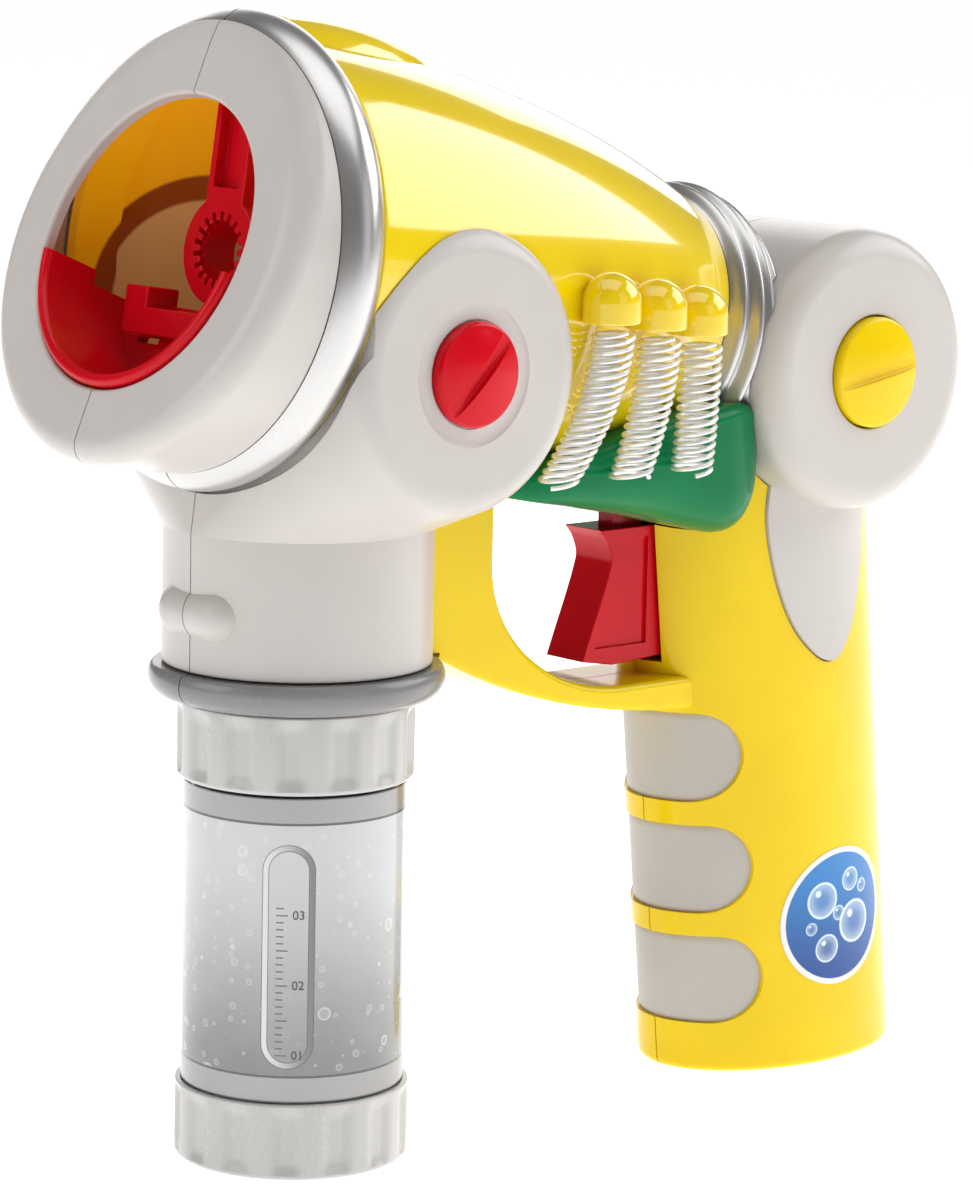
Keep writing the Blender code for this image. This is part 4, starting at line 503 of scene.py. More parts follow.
def combine(obj, tools, operation):
    """Apply each tool to the piece in turn, and use it up."""
    for tool in tools:
        choose(obj)
        change = obj.modifiers.new("combine", "BOOLEAN")
        change.operation = operation
        change.solver = "EXACT"
        change.object = tool
        bpy.ops.object.modifier_apply(modifier=change.name)
        bpy.data.objects.remove(tool, do_unlink=True)
    return obj


def carve(obj, *tools):
    return combine(obj, tools, "DIFFERENCE")


def weld(obj, *others):
    return combine(obj, others, "UNION")


def trim_to(obj, *others):
    return combine(obj, others, "INTERSECT")


def half_of(whole, name, side):
    """A copy of one side of a piece, cut just off the middle plane."""
    half = copy_of(whole, name)
    choose(half)
    bpy.ops.object.mode_set(mode="EDIT")
    bpy.ops.mesh.select_all(action="SELECT")
    bpy.ops.mesh.bisect(plane_co=(side * SEAM, 0.0, 0.0), plane_no=(side, 0.0, 0.0),
                        use_fill=True, clear_inner=True)
    bpy.ops.object.mode_set(mode="OBJECT")
    return half


def halves(whole, finish, node):
    """Cut a piece into its left and right mouldings."""
    for side, word in SIDE_NAMES.items():
        dress(half_of(whole, "%s_%s_shell" % (node, word), side), finish, "gun", node + "_" + word)
    bpy.data.objects.remove(whole, do_unlink=True)


def soften(obj, width, segments=EDGE_STEPS):
    """Round a piece's sharp edges."""
    choose(obj)
    rounding = obj.modifiers.new("rounding", "BEVEL")
    rounding.width = width
    rounding.segments = segments
    rounding.limit_method = "ANGLE"
    rounding.angle_limit = math.radians(SOFT_ANGLE)
    bpy.ops.object.modifier_apply(modifier=rounding.name)
    return obj


def dress(obj, finish, body, *nodes):
    """Smooth a finished piece, give it its finish and put it on its body."""
    choose(obj)
    bpy.ops.object.shade_smooth_by_angle(angle=math.radians(SMOOTH_ANGLE))
    even = obj.modifiers.new("even_shading", "WEIGHTED_NORMAL")
    even.keep_sharp = True
    bpy.ops.object.modifier_apply(modifier=even.name)
    obj.data.materials.clear()
    obj.data.materials.append(finish)
    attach(obj, body)
    if nodes:
        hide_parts(*nodes)


def wire(name, points, radius):
    """A round wire or hose through the points, made a mesh."""
    curve = bpy.data.curves.new(name, "CURVE")
    curve.dimensions = "3D"
    curve.bevel_depth = radius
    curve.bevel_resolution = WIRE_STEPS
    curve.use_fill_caps = True
    spline = curve.splines.new("POLY")
    spline.points.add(len(points) - 1)
    for point, place in zip(spline.points, points):
        point.co = (*place, 1.0)
    obj = bpy.data.objects.new(name, curve)
    bpy.context.scene.collection.objects.link(obj)
    choose(obj)
    bpy.ops.object.convert(target="MESH")
    obj = bpy.context.active_object
    bpy.ops.object.mode_set(mode="EDIT")
    close_skin()
    bpy.ops.object.mode_set(mode="OBJECT")
    return obj


# Lines and places

def arc(centre, radius, start, end, count):
    """Points on an arc, angles in degrees."""
    turns = [math.radians(start + (end - start) * i / count) for i in range(count + 1)]
    return [(centre[0] + radius * math.cos(a), centre[1] + radius * math.sin(a)) for a in turns]


def bow(start, control, end, count):
    """Points on a quadratic curve between two points, pulled towards a third."""
    points = []
    for i in range(count + 1):
        t = i / count
        a, b, c = (1.0 - t) ** 2, 2.0 * t * (1.0 - t), t * t
        points.append(tuple(a * p + b * q + c * r for p, q, r in zip(start, control, end)))
    return points


def smooth_path(points, per_span):
    """A smooth curve through given points."""
    knots = [Vector(p) for p in points]
    knots = [2.0 * knots[0] - knots[1]] + knots + [2.0 * knots[-1] - knots[-2]]
    path = []
    for a, b, c, d in zip(knots, knots[1:], knots[2:], knots[3:]):
        for i in range(per_span):
            t = i / per_span
            path.append(0.5 * (2.0 * b + (c - a) * t + (2.0 * a - 5.0 * b + 4.0 * c - d) * t * t
                               + (3.0 * b - 3.0 * c + d - a) * t ** 3))
    path.append(knots[-2])
    return path


def station(along, up=0.0, across=0.0):
    """World place of a point given in the barrel's own directions."""
    return BARREL @ Vector((across, -up, along))


def across_frame(side):
    """A frame whose Z points outwards across the gun."""
    return Matrix.Rotation(side * 0.5 * math.pi, 4, "Y")


def barrel_radius(along):
    """Outer radius of the barrel at a station."""
    share = min(max((along - BARREL_FRONT) / BARREL_LENGTH, 0.0), 1.0)
    return BARREL_FRONT_RADIUS - (BARREL_FRONT_RADIUS - BARREL_REAR_RADIUS) * share ** BARREL_CURVE


def barrel_line(offset, start, end):
    """(radius, station) points along the barrel's skin, or at an offset from it."""
    places = [start + (end - start) * i / BARREL_ROWS for i in range(BARREL_ROWS + 1)]
    return [(barrel_radius(s) + offset, s) for s in places]


def barrel_solid(name, offset, start, end):
    return spun(name, [(0.0, start)] + barrel_line(offset, start, end) + [(0.0, end)], BARREL, FINE)


def barrel_room(end):
    """What the barrel takes up, with a gap round it."""
    return barrel_solid("barrel_room", GAP, GAP, end)


def rod(name, radius, low, high, place=UPRIGHT, steps=ROUND):
    return spun(name, [(0.0, low), (radius, low), (radius, high), (0.0, high)], place, steps)


def drum_room():
    """What the rear housing's drum takes up, with a gap round it."""
    return rod("drum_room", DRUM_RADIUS + GAP, -REACH, REACH, DRUM_PLACE @ across_frame(LEFT))


def grip_axis(height):
    """Y of the grip's leaning axis."""
    return GRIP_FOOT_Y - GRIP_LEAN * height


def grip_ring(offset, height):
    """One oval section of the grip."""
    ring = []
    for i in range(FINE):
        turn = TAU * i / FINE
        ring.append((math.cos(turn) * (GRIP_HALF_WIDTH + offset),
                     grip_axis(height) + math.sin(turn) * (GRIP_HALF_DEPTH + offset), height))
    return ring


def grip_solid(name, offset, low, high):
    return lofted(name, [grip_ring(offset, height) for height in (low, low + 0.5 * (high - low), high)])


def grip_front(height):
    return grip_axis(height) - GRIP_HALF_DEPTH


def pod_ring(section, offset):
    """One rounded section of the pod."""
    y, half_width, low, high = section
    half_width += offset
    low -= offset
    high += offset
    corner = min(POD_CORNER, 0.45 * (high - low))
    lip = min(POD_LIP, 0.3 * (high - low))
    outline = (arc((half_width - corner, low + corner), corner, -90.0, 0.0, 10)
               + arc((half_width - lip, high - lip), lip, 0.0, 90.0, 5))
    outline += [(-x, z) for x, z in reversed(outline)]
    return [(x, y, z) for x, z in outline]


def pod_solid(name, offset):
    """The pod from front to rear, with its stern rounded over."""
    rings = [pod_ring(tuple(section), offset) for section in smooth_path(POD_SECTIONS, 6)]
    y, half_width, low, high = POD_SECTIONS[-1]
    for degrees in (30.0, 60.0, 90.0):
        bend = math.radians(degrees)
        shrink = POD_LIP * (1.0 - math.cos(bend))
        rings.append(pod_ring((y + POD_LIP * math.sin(bend), half_width, low, high), offset - shrink))
    rings[0] = [(x, y - offset, z) for x, y, z in rings[0]]
    rings[-1] = [(x, y + offset, z) for x, y, z in rings[-1]]
    return lofted(name, rings)


def pod_half_width(y):
    """Half width of the pod at a place along the gun."""
    for near, far in zip(POD_SECTIONS, POD_SECTIONS[1:]):
        if y <= far[0]:
            share = (y - near[0]) / (far[0] - near[0])
            return near[1] + share * (far[1] - near[1])
    return POD_SECTIONS[-1][1]


def yoke_solid(name, offset):
    """Both ears and the top of the socket in one taut skin."""
    bpy.ops.object.select_all(action="DESELECT")
    bpy.ops.mesh.primitive_circle_add(vertices=FINE - 6, radius=SOCKET_RADIUS + offset + YOKE_LIP)
    obj = bpy.context.active_object
    obj.name = name
    bpy.ops.object.mode_set(mode="EDIT")
    bpy.ops.mesh.select_all(action="SELECT")
    bpy.ops.transform.translate(value=(0.0, 0.0, SOCKET_FLARE_Z - offset - WALL))
    rim = arc((EAR_RADIUS - EAR_EDGE, EAR_FACE - EAR_EDGE), EAR_EDGE + offset, 0.0, 90.0, 8)
    for radius, x in rim:
        for side in (LEFT, RIGHT):
            bpy.ops.mesh.primitive_circle_add(vertices=ROUND, radius=radius,
                                              rotation=(0.0, 0.5 * math.pi, 0.0),
                                              location=(side * x, EAR_Y, EAR_Z))
    bpy.ops.mesh.select_all(action="SELECT")
    bpy.ops.mesh.convex_hull(join_triangles=False)
    close_skin()
    return settle(obj)


# Finishes

def put(tree, socket, value):
    """Link a node's output to a socket, or set the socket's own value."""
    if isinstance(value, bpy.types.NodeSocket):
        tree.links.new(value, socket)
    else:
        socket.default_value = value


def calc(tree, operation, *values):
    node = tree.nodes.new("ShaderNodeMath")
    node.operation = operation
    for socket, value in zip(node.inputs, values):
        put(tree, socket, value)
    return node.outputs[0]


def blend_colours(tree, share, first, second):
    """Mix two colours; the numbered sockets are the Mix node's colour ones."""
    node = tree.nodes.new("ShaderNodeMix")
    node.data_type = "RGBA"
    put(tree, node.inputs[0], share)
    put(tree, node.inputs[6], first)
    put(tree, node.inputs[7], second)
    return node.outputs[2]


def ramp(tree, value, low, high, start=0.0, end=1.0):
    """A value's smooth way from low to high, put out between start and end."""
    node = tree.nodes.new("ShaderNodeMapRange")
    node.interpolation_type = "SMOOTHSTEP"
    for name, number in (("Value", value), ("From Min", low), ("From Max", high), ("To Min", start),
                         ("To Max", end)):
        put(tree, node.inputs[name], number)
    return node.outputs["Result"]


def swing(tree, value, reach):
    """A value from 0 to 1 made to swing about 0."""
    return calc(tree, "MULTIPLY", calc(tree, "SUBTRACT", value, 0.5), reach)


def square_sum(tree, first, second):
    return calc(tree, "ADD", calc(tree, "MULTIPLY", first, first), calc(tree, "MULTIPLY", second, second))


def object_place(tree):
    return tree.nodes.new("ShaderNodeTexCoord").outputs["Object"]


def object_parts(tree):
    """The place on the piece, as one vector and as X, Y and Z."""
    place = object_place(tree)
    split = tree.nodes.new("ShaderNodeSeparateXYZ")
    put(tree, split.inputs[0], place)
    return (place, *split.outputs)


def cell_pattern(tree, place, scale, flat=False):
    """Voronoi cells: each cell's random value, and the distance from its middle."""
    cells = tree.nodes.new("ShaderNodeTexVoronoi")
    if flat:
        cells.voronoi_dimensions = "2D"
    put(tree, cells.inputs["Vector"], place)
    put(tree, cells.inputs["Scale"], scale)
    split = tree.nodes.new("ShaderNodeSeparateColor")
    put(tree, split.inputs["Color"], cells.outputs["Color"])
    return split.outputs["Red"], cells.outputs["Distance"]


def noise(tree, place, scale, detail):
    node = tree.nodes.new("ShaderNodeTexNoise")
    put(tree, node.inputs["Vector"], place)
    put(tree, node.inputs["Scale"], scale)
    put(tree, node.inputs["Detail"], detail)
    return node.outputs["Fac"]


def new_group(name, inputs):
    """A node group for a surface; its input is a colour where its value is one."""
    group = bpy.data.node_groups.new(name, "ShaderNodeTree")
    for label, value in inputs:
        kind = "NodeSocketColor" if isinstance(value, tuple) else "NodeSocketFloat"
        socket = group.interface.new_socket(label, in_out="INPUT", socket_type=kind)
        socket.default_value = value
    for label, kind in (("Colour", "NodeSocketColor"), ("Roughness", "NodeSocketFloat"),
                        ("Height", "NodeSocketFloat")):
        group.interface.new_socket(label, in_out="OUTPUT", socket_type=kind)
    start = group.nodes.new("NodeGroupInput")
    end = group.nodes.new("NodeGroupOutput")
    return group, start.outputs, end.inputs


def make_moulded_skin():
    """Moulded plastic: faint colour clouds, uneven gloss, and a slow wave with a fine grain as height."""
    group, given, made = new_group("moulded_skin", (
        ("Colour", (0.8, 0.8, 0.8, 1.0)), ("Shade", (0.7, 0.7, 0.7, 1.0)),
        ("Cloud", 45.0), ("Grain", 1400.0), ("Gloss", 0.3)))
    place = object_place(group)
    cloud = noise(group, place, given["Cloud"], 3.0)
    grain = noise(group, place, given["Grain"], 2.0)
    wave = noise(group, place, calc(group, "MULTIPLY", given["Cloud"], 2.2), 1.0)
    share = ramp(group, cloud, 0.3, 0.75)
    put(group, made["Colour"], blend_colours(group, share, given["Colour"], given["Shade"]))
    uneven = calc(group, "ADD", swing(group, grain, 0.05), swing(group, cloud, 0.12))
    rough = calc(group, "ADD", given["Gloss"], uneven)
    put(group, made["Roughness"], calc(group, "MAXIMUM", rough, 0.03))
    put(group, made["Height"], calc(group, "ADD", wave, calc(group, "MULTIPLY", grain, 0.02)))
    return group


def make_metal_flake():
    """Metal flakes in paint: small cells of unlike brightness."""
    group, given, made = new_group("metal_flake", (
        ("Colour", (0.7, 0.7, 0.7, 1.0)), ("Shade", (0.5, 0.5, 0.5, 1.0)),
        ("Flake", 9000.0), ("Gloss", 0.25)))
    place = object_place(group)
    share = calc(group, "MULTIPLY", cell_pattern(group, place, given["Flake"])[0], 0.6)
    put(group, made["Colour"], blend_colours(group, share, given["Colour"], given["Shade"]))
    slow = noise(group, place, 60.0, 3.0)
    put(group, made["Roughness"], calc(group, "ADD", given["Gloss"], swing(group, slow, 0.12)))
    put(group, made["Height"], noise(group, place, 700.0, 2.0))
    return group


MOULDED_SKIN = make_moulded_skin()
METAL_FLAKE = make_metal_flake()


def shader_of(finish):
    return finish.node_tree.nodes["Principled BSDF"]


def new_finish(name):
    made = bpy.data.materials.new(name)
    made.use_nodes = True
    return made, made.node_tree, shader_of(made)


def shape_light(tree, shader, height, strength, distance=0.0002):
    """Bump from a height."""
    bump = tree.nodes.new("ShaderNodeBump")
    bump.inputs["Strength"].default_value = strength
    bump.inputs["Distance"].default_value = distance
    put(tree, bump.inputs["Height"], height)
    put(tree, shader.inputs["Normal"], bump.outputs["Normal"])


def add_skin(tree, shader, group, colour, shade, gloss):
    """Place a surface group in a finish and give the shader its colour and roughness."""
    skin = tree.nodes.new("ShaderNodeGroup")
    skin.node_tree = group
    skin.inputs["Colour"].default_value = (*colour, 1.0)
    skin.inputs["Shade"].default_value = (*shade, 1.0)
    skin.inputs["Gloss"].default_value = gloss
    put(tree, shader.inputs["Base Color"], skin.outputs["Colour"])
    put(tree, shader.inputs["Roughness"], skin.outputs["Roughness"])
    return skin


def add_coat(shader, weight, roughness):
    shader.inputs["Coat Weight"].default_value = weight
    shader.inputs["Coat Roughness"].default_value = roughness


def plastic(name, colour, shade, gloss, coat=0.0, bump=0.04, grain=1400.0, shine=0.35):
    """Moulded plastic."""
    made, tree, shader = new_finish(name)
    skin = add_skin(tree, shader, MOULDED_SKIN, colour, shade, gloss)
    skin.inputs["Grain"].default_value = grain
    shape_light(tree, shader, skin.outputs["Height"], bump)
    add_coat(shader, coat, 0.06)
    shader.inputs["Specular IOR Level"].default_value = shine
    return made


def flaked(name, colour, shade, gloss, metallic, coat=0.0):
    """Silver paint or bare metal."""
    made, tree, shader = new_finish(name)
    flake = add_skin(tree, shader, METAL_FLAKE, colour, shade, gloss)
    shape_light(tree, shader, flake.outputs["Height"], 0.04, 0.0001)
    shader.inputs["Metallic"].default_value = metallic
    add_coat(shader, coat, 0.08)
    return made


def clear_plastic(name, colour, gloss):
    """Plastic that lets most of the light through."""
    made = plastic(name, colour, colour, gloss)
    shader = shader_of(made)
    shader.inputs["Transmission Weight"].default_value = 0.9
    shader.inputs["IOR"].default_value = 1.45
    return made


WHITE_SHELL = plastic("white_shell", (0.61, 0.572, 0.545), (0.58, 0.543, 0.515), 0.32, 0.08)
YELLOW_SHELL = plastic("yellow_shell", (0.90, 0.64, 0.001), (0.86, 0.59, 0.001), 0.20, 0.15, shine=0.2)
YELLOW_BARREL = plastic("yellow_barrel", (0.94, 0.69, 0.001), (0.91, 0.65, 0.001), 0.15, 1.0, shine=0.25)
shader_of(YELLOW_BARREL).inputs["Coat IOR"].default_value = 1.65
RED_TRIM = plastic("red_trim", (0.66, 0.003, 0.012), (0.59, 0.002, 0.009), 0.20, 0.08, shine=0.15)
GREEN_POD = plastic("green_pod", (0.001, 0.19, 0.062), (0.001, 0.165, 0.052), 0.22, 0.06, shine=0.12)
GREY_COLLAR = plastic("grey_collar", (0.25, 0.245, 0.245), (0.22, 0.215, 0.215), 0.26, 0.2)
PALE_RING = plastic("pale_bottle_ring", (0.58, 0.57, 0.555), (0.54, 0.53, 0.515), 0.26, 0.2)
PAD_WHITE = plastic("finger_pad_white", (0.52, 0.49, 0.45), (0.48, 0.45, 0.41), 0.42, bump=0.1, grain=2600.0)
SILVER_PAINT = flaked("silver_paint", (0.64, 0.63, 0.62), (0.54, 0.53, 0.525), 0.30, 0.9)
SPRING_STEEL = flaked("spring_steel", (0.86, 0.86, 0.86), (0.74, 0.74, 0.75), 0.16, 1.0)
SPRING_BRIGHT = flaked("bright_spring", (0.86, 0.86, 0.86), (0.78, 0.78, 0.78), 0.30, 0.45, 0.3)
MOTOR_CAN = flaked("motor_can", (0.55, 0.55, 0.55), (0.45, 0.45, 0.46), 0.3, 1.0)
CLEAR_BOTTLE = clear_plastic("clear_bottle", (0.88, 0.90, 0.90), 0.06)
HOSE_CLEAR = clear_plastic("soft_hose", (0.90, 0.90, 0.86), 0.22)
GEAR_NYLON = plastic("gear_nylon", (0.82, 0.81, 0.76), (0.76, 0.75, 0.70), 0.42)
SEAL_RUBBER = plastic("seal_rubber", (0.035, 0.035, 0.037), (0.05, 0.05, 0.052), 0.6, bump=0.3)

# Printed pieces: label, sticker and battery wrap
VIEW_SIDE = 48.3         # degrees round from the muzzle, where the level scale and the camera are
FACING = math.radians(VIEW_SIDE - 90.0)
PRINT_SOFT = 0.00006     # half of the soft edge of a printed line
LABEL_BAND = 0.0043      # height of the silver bands
BAND_LINE = 0.0002       # half of the dark line along a band
LABEL_LOW_COLOUR = (0.22, 0.225, 0.235, 1.0)
LABEL_HIGH_COLOUR = (0.60, 0.61, 0.62, 1.0)
BAND_COLOUR = (0.33, 0.325, 0.325, 1.0)
BAND_LINE_COLOUR = (0.10, 0.10, 0.105, 1.0)
LABEL_BUBBLES = ((150.0, 0.30, 0.5), (330.0, 0.36, 0.4))  # cells per metre, size in a cell, strength
LABEL_BUBBLE_LEAST = 0.35
LABEL_BUBBLE_COLOUR = (0.80, 0.81, 0.82, 1.0)
PANEL_HALF_WIDTH = 0.0043
PANEL_FRAME = 0.0010
PANEL_LOW_Z = 0.0188
PANEL_HIGH_Z = 0.0562
PANEL_COVER = 0.8
PANEL_LOW_COLOUR = (0.30, 0.30, 0.305, 1.0)
PANEL_HIGH_COLOUR = (0.60, 0.60, 0.605, 1.0)
# the frame's two colours are a painted highlight on its left and painted shade on its right
FRAME_PAINTED_HIGHLIGHT_COLOUR = (0.72, 0.72, 0.73, 1.0)
FRAME_PAINTED_SHADE_COLOUR = (0.20, 0.20, 0.21, 1.0)
FRAME_LINE_COLOUR = (0.09, 0.09, 0.095, 1.0)
SCALE_FIRST_Z = 0.0210
SCALE_STEP = 0.01175     # between numbers
SCALE_TICKS = 10         # per number
SCALE_LEFT = -0.0020
SCALE_LOW_Z = PANEL_LOW_Z + 0.0021
SCALE_HIGH_Z = PANEL_HIGH_Z - 0.0095
TICK_PITCH = SCALE_STEP / SCALE_TICKS
TICK_LENGTH = 0.0012
TICK_EXTRA = 0.6 * TICK_LENGTH
TICK_THICK = 0.00022
TICK_COLOUR = (0.10, 0.10, 0.11, 1.0)
NUMBER_SIZE = 0.0021
NUMBER_LEFT = SCALE_LEFT + 2.2 * TICK_LENGTH
STICKER_BORDER = 0.0010
STICKER_SOFT = 0.0001
STICKER_LOW_COLOUR = (0.005, 0.06, 0.30, 1.0)
STICKER_HIGH_COLOUR = (0.02, 0.22, 0.58, 1.0)
STICKER_BORDER_COLOUR = (0.86, 0.86, 0.86, 1.0)
STICKER_BUBBLE_COLOUR = (0.78, 0.90, 0.96, 1.0)
STICKER_BUBBLES = ((0.1085, 0.0305, 0.0034), (0.1160, 0.0335, 0.0022), (0.1175, 0.0255, 0.0040),
                   (0.1100, 0.0215, 0.0026), (0.1128, 0.0277, 0.0014), (0.1198, 0.0317, 0.0013),
                   (0.1060, 0.0255, 0.0012))
CELL_BAND_Z = 0.0430     # the battery wrap's copper part starts here
CELL_BAND_SOFT = 0.0004
CELL_DARK_COLOUR = (0.02, 0.022, 0.026, 1.0)
CELL_COPPER_COLOUR = (0.60, 0.30, 0.14, 1.0)

# Painted glow for the light through the barrel's wall, and painted shade that the ear behind it throws
INNER_GLOW = 0.42
GLOW_COLOUR = (1.0, 0.34, 0.002, 1.0)
GLOW_RING_COLOUR = (0.34, 0.05, 0.002, 1.0)
GLOW_DISC_COLOUR = (1.0, 0.48, 0.16, 1.0)
SHADE_RING_COLOUR = (0.20, 0.05, 0.004, 1.0)
SHADE_DISC_COLOUR = (0.34, 0.20, 0.09, 1.0)
SHADE_RING_EDGE = (EAR_RADIUS + 0.0028, EAR_RADIUS + 0.0036)
SHADE_DISC_EDGE = (EAR_RADIUS - 0.0016, EAR_RADIUS - 0.0008)
UNLIT = (0.0, 0.0, 0.0, 1.0)


def inside(tree, value, low, high, soft):
    """1 where the value lies between low and high, with soft ends."""
    rise = ramp(tree, value, low - soft, low + soft)
    fall = ramp(tree, value, high - soft, high + soft, 1.0, 0.0)
    return calc(tree, "MULTIPLY", rise, fall)


def draw_lines(tree, colour, value, places, half, ink):
    """Draw a thin line at each of the places along a value."""
    for place in places:
        line = inside(tree, value, place - half, place + half, PRINT_SOFT)
        colour = blend_colours(tree, line, colour, ink)
    return colour


def draw_label_bubbles(tree, colour, aside, height):
    flat = tree.nodes.new("ShaderNodeCombineXYZ")
    put(tree, flat.inputs["X"], aside)
    put(tree, flat.inputs["Y"], height)
    for scale, size, strength in LABEL_BUBBLES:
        chance, distance = cell_pattern(tree, flat.outputs[0], scale, True)
        radius = calc(tree, "MULTIPLY", calc(tree, "SUBTRACT", chance, LABEL_BUBBLE_LEAST), size)
        away = calc(tree, "SUBTRACT", distance, radius)
        rim = inside(tree, away, -0.05, 0.0, 0.02)
        fill = ramp(tree, away, -0.02, 0.0, 0.3, 0.0)
        mark = calc(tree, "MULTIPLY", calc(tree, "MAXIMUM", rim, fill), strength)
        colour = blend_colours(tree, mark, colour, LABEL_BUBBLE_COLOUR)
    return colour


def draw_scale_panel(tree, colour, aside, height, fade):
    """A panel with round ends and a frame with a painted highlight on its left and painted shade on its
    right.
    """
    middle = 0.5 * (PANEL_LOW_Z + PANEL_HIGH_Z)
    straight = 0.5 * (PANEL_HIGH_Z - PANEL_LOW_Z) - PANEL_HALF_WIDTH
    above = calc(tree, "ABSOLUTE", calc(tree, "SUBTRACT", height, middle))
    above = calc(tree, "MAXIMUM", calc(tree, "SUBTRACT", above, straight), 0.0)
    edge = calc(tree, "SUBTRACT", calc(tree, "SQRT", square_sum(tree, aside, above)), PANEL_HALF_WIDTH)
    panel = ramp(tree, edge, -PRINT_SOFT, PRINT_SOFT, 1.0, 0.0)
    sheet = blend_colours(tree, fade, PANEL_LOW_COLOUR, PANEL_HIGH_COLOUR)
    colour = blend_colours(tree, calc(tree, "MULTIPLY", panel, PANEL_COVER), colour, sheet)
    # painted highlight on the frame's left, fading to painted shade on its right
    painted_light_side = ramp(tree, aside, -PANEL_HALF_WIDTH, PANEL_HALF_WIDTH)
    rim = blend_colours(tree, painted_light_side, FRAME_PAINTED_HIGHLIGHT_COLOUR, FRAME_PAINTED_SHADE_COLOUR)
    colour = blend_colours(tree, inside(tree, edge, -PANEL_FRAME, 0.0, PRINT_SOFT), colour, rim)
    return draw_lines(tree, colour, edge, (-PANEL_FRAME, 0.0), PRINT_SOFT, FRAME_LINE_COLOUR)


def draw_ticks(tree, colour, aside, height):
    """Level ticks, with each fifth one longer."""
    steps = calc(tree, "DIVIDE", calc(tree, "SUBTRACT", height, SCALE_FIRST_Z), TICK_PITCH)
    nearest = calc(tree, "ROUND", steps)
    off = calc(tree, "MULTIPLY", calc(tree, "ABSOLUTE", calc(tree, "SUBTRACT", steps, nearest)), TICK_PITCH)
    line = ramp(tree, off, 0.4 * TICK_THICK, 0.6 * TICK_THICK, 1.0, 0.0)
    fifth = calc(tree, "DIVIDE", nearest, 0.5 * SCALE_TICKS)
    rest = calc(tree, "ABSOLUTE", calc(tree, "SUBTRACT", fifth, calc(tree, "ROUND", fifth)))
    longer = calc(tree, "MULTIPLY", calc(tree, "LESS_THAN", rest, 0.05), TICK_EXTRA)
    right = calc(tree, "ADD", SCALE_LEFT + TICK_LENGTH, longer)
    across = calc(tree, "MULTIPLY", calc(tree, "GREATER_THAN", aside, SCALE_LEFT),
                  calc(tree, "LESS_THAN", aside, right))
    tick = calc(tree, "MULTIPLY", line, across)
    tick = calc(tree, "MULTIPLY", tick, inside(tree, height, SCALE_LOW_Z, SCALE_HIGH_Z, 0.0001))
    return blend_colours(tree, tick, colour, TICK_COLOUR)


def label_print():
    """Bottle print: silver bands, a grey fade, a scale panel with ticks, and pale bubbles."""
    made, tree, shader = new_finish("bottle_print")
    place, across, behind, height = object_parts(tree)
    turn = calc(tree, "SUBTRACT", calc(tree, "ARCTAN2", behind, across), FACING)
    aside = calc(tree, "MULTIPLY", turn, BOTTLE_RADIUS)
    fade = ramp(tree, height, LABEL_LOW_Z, PANEL_HIGH_Z)
    drift = swing(tree, noise(tree, place, 110.0, 4.0), 0.25)
    colour = blend_colours(tree, calc(tree, "ADD", fade, drift), LABEL_LOW_COLOUR, LABEL_HIGH_COLOUR)
    colour = draw_label_bubbles(tree, colour, aside, height)
    colour = draw_scale_panel(tree, colour, aside, height, fade)
    colour = draw_ticks(tree, colour, aside, height)
    low_band = LABEL_LOW_Z + LABEL_BAND
    high_band = LABEL_HIGH_Z - LABEL_BAND
    band = calc(tree, "MAXIMUM", ramp(tree, height, low_band - PRINT_SOFT, low_band + PRINT_SOFT, 1.0, 0.0),
                ramp(tree, height, high_band - PRINT_SOFT, high_band + PRINT_SOFT))
    colour = blend_colours(tree, band, colour, BAND_COLOUR)
    colour = draw_lines(tree, colour, height, (low_band, high_band, LABEL_HIGH_Z, LABEL_LOW_Z), BAND_LINE,
                        BAND_LINE_COLOUR)
    put(tree, shader.inputs["Base Color"], colour)
    put(tree, shader.inputs["Metallic"], calc(tree, "MULTIPLY", band, 0.6))
    put(tree, shader.inputs["Roughness"], calc(tree, "ADD", 0.16, calc(tree, "MULTIPLY", band, 0.10)))
    shape_light(tree, shader, noise(tree, place, 160.0, 2.0), 0.05)
    shader.inputs["Coat Weight"].default_value = 0.4
    return made


def sticker_print():
    """Oval blue sticker with a white border and pale bubbles, drawn on the grip's side view."""
    made, tree, shader = new_finish("sticker_print")
    place, _, behind, height = object_parts(tree)

    def away(y, z):
        across = calc(tree, "DIVIDE", calc(tree, "SUBTRACT", behind, y), STICKER_STRETCH)
        return calc(tree, "SQRT", square_sum(tree, across, calc(tree, "SUBTRACT", height, z)))

    fade = ramp(tree, height, STICKER_Z - STICKER_RADIUS, STICKER_Z + STICKER_RADIUS)
    colour = blend_colours(tree, fade, STICKER_LOW_COLOUR, STICKER_HIGH_COLOUR)
    for y, z, radius in STICKER_BUBBLES:
        gone = away(y, z)
        rim = inside(tree, gone, 0.86 * radius, radius, 0.8 * STICKER_SOFT)
        fill = ramp(tree, gone, 0.2 * radius, radius, 0.10, 0.45)
        within = ramp(tree, gone, radius - STICKER_SOFT, radius + STICKER_SOFT, 1.0, 0.0)
        gleam = ramp(tree, away(y - 0.35 * radius, z + 0.4 * radius), 0.12 * radius, 0.26 * radius, 1.0, 0.0)
        mark = calc(tree, "MAXIMUM", calc(tree, "MULTIPLY", fill, within),
                    calc(tree, "MAXIMUM", calc(tree, "MULTIPLY", rim, 0.85), gleam))
        colour = blend_colours(tree, mark, colour, STICKER_BUBBLE_COLOUR)
    border = STICKER_RADIUS - STICKER_BORDER
    edge = ramp(tree, away(STICKER_Y, STICKER_Z), border - STICKER_SOFT, border + STICKER_SOFT)
    put(tree, shader.inputs["Base Color"], blend_colours(tree, edge, colour, STICKER_BORDER_COLOUR))
    fleck = noise(tree, place, 900.0, 2.0)
    put(tree, shader.inputs["Roughness"], ramp(tree, fleck, 0.2, 0.8, 0.16, 0.26))
    shape_light(tree, shader, fleck, 0.05)
    return made


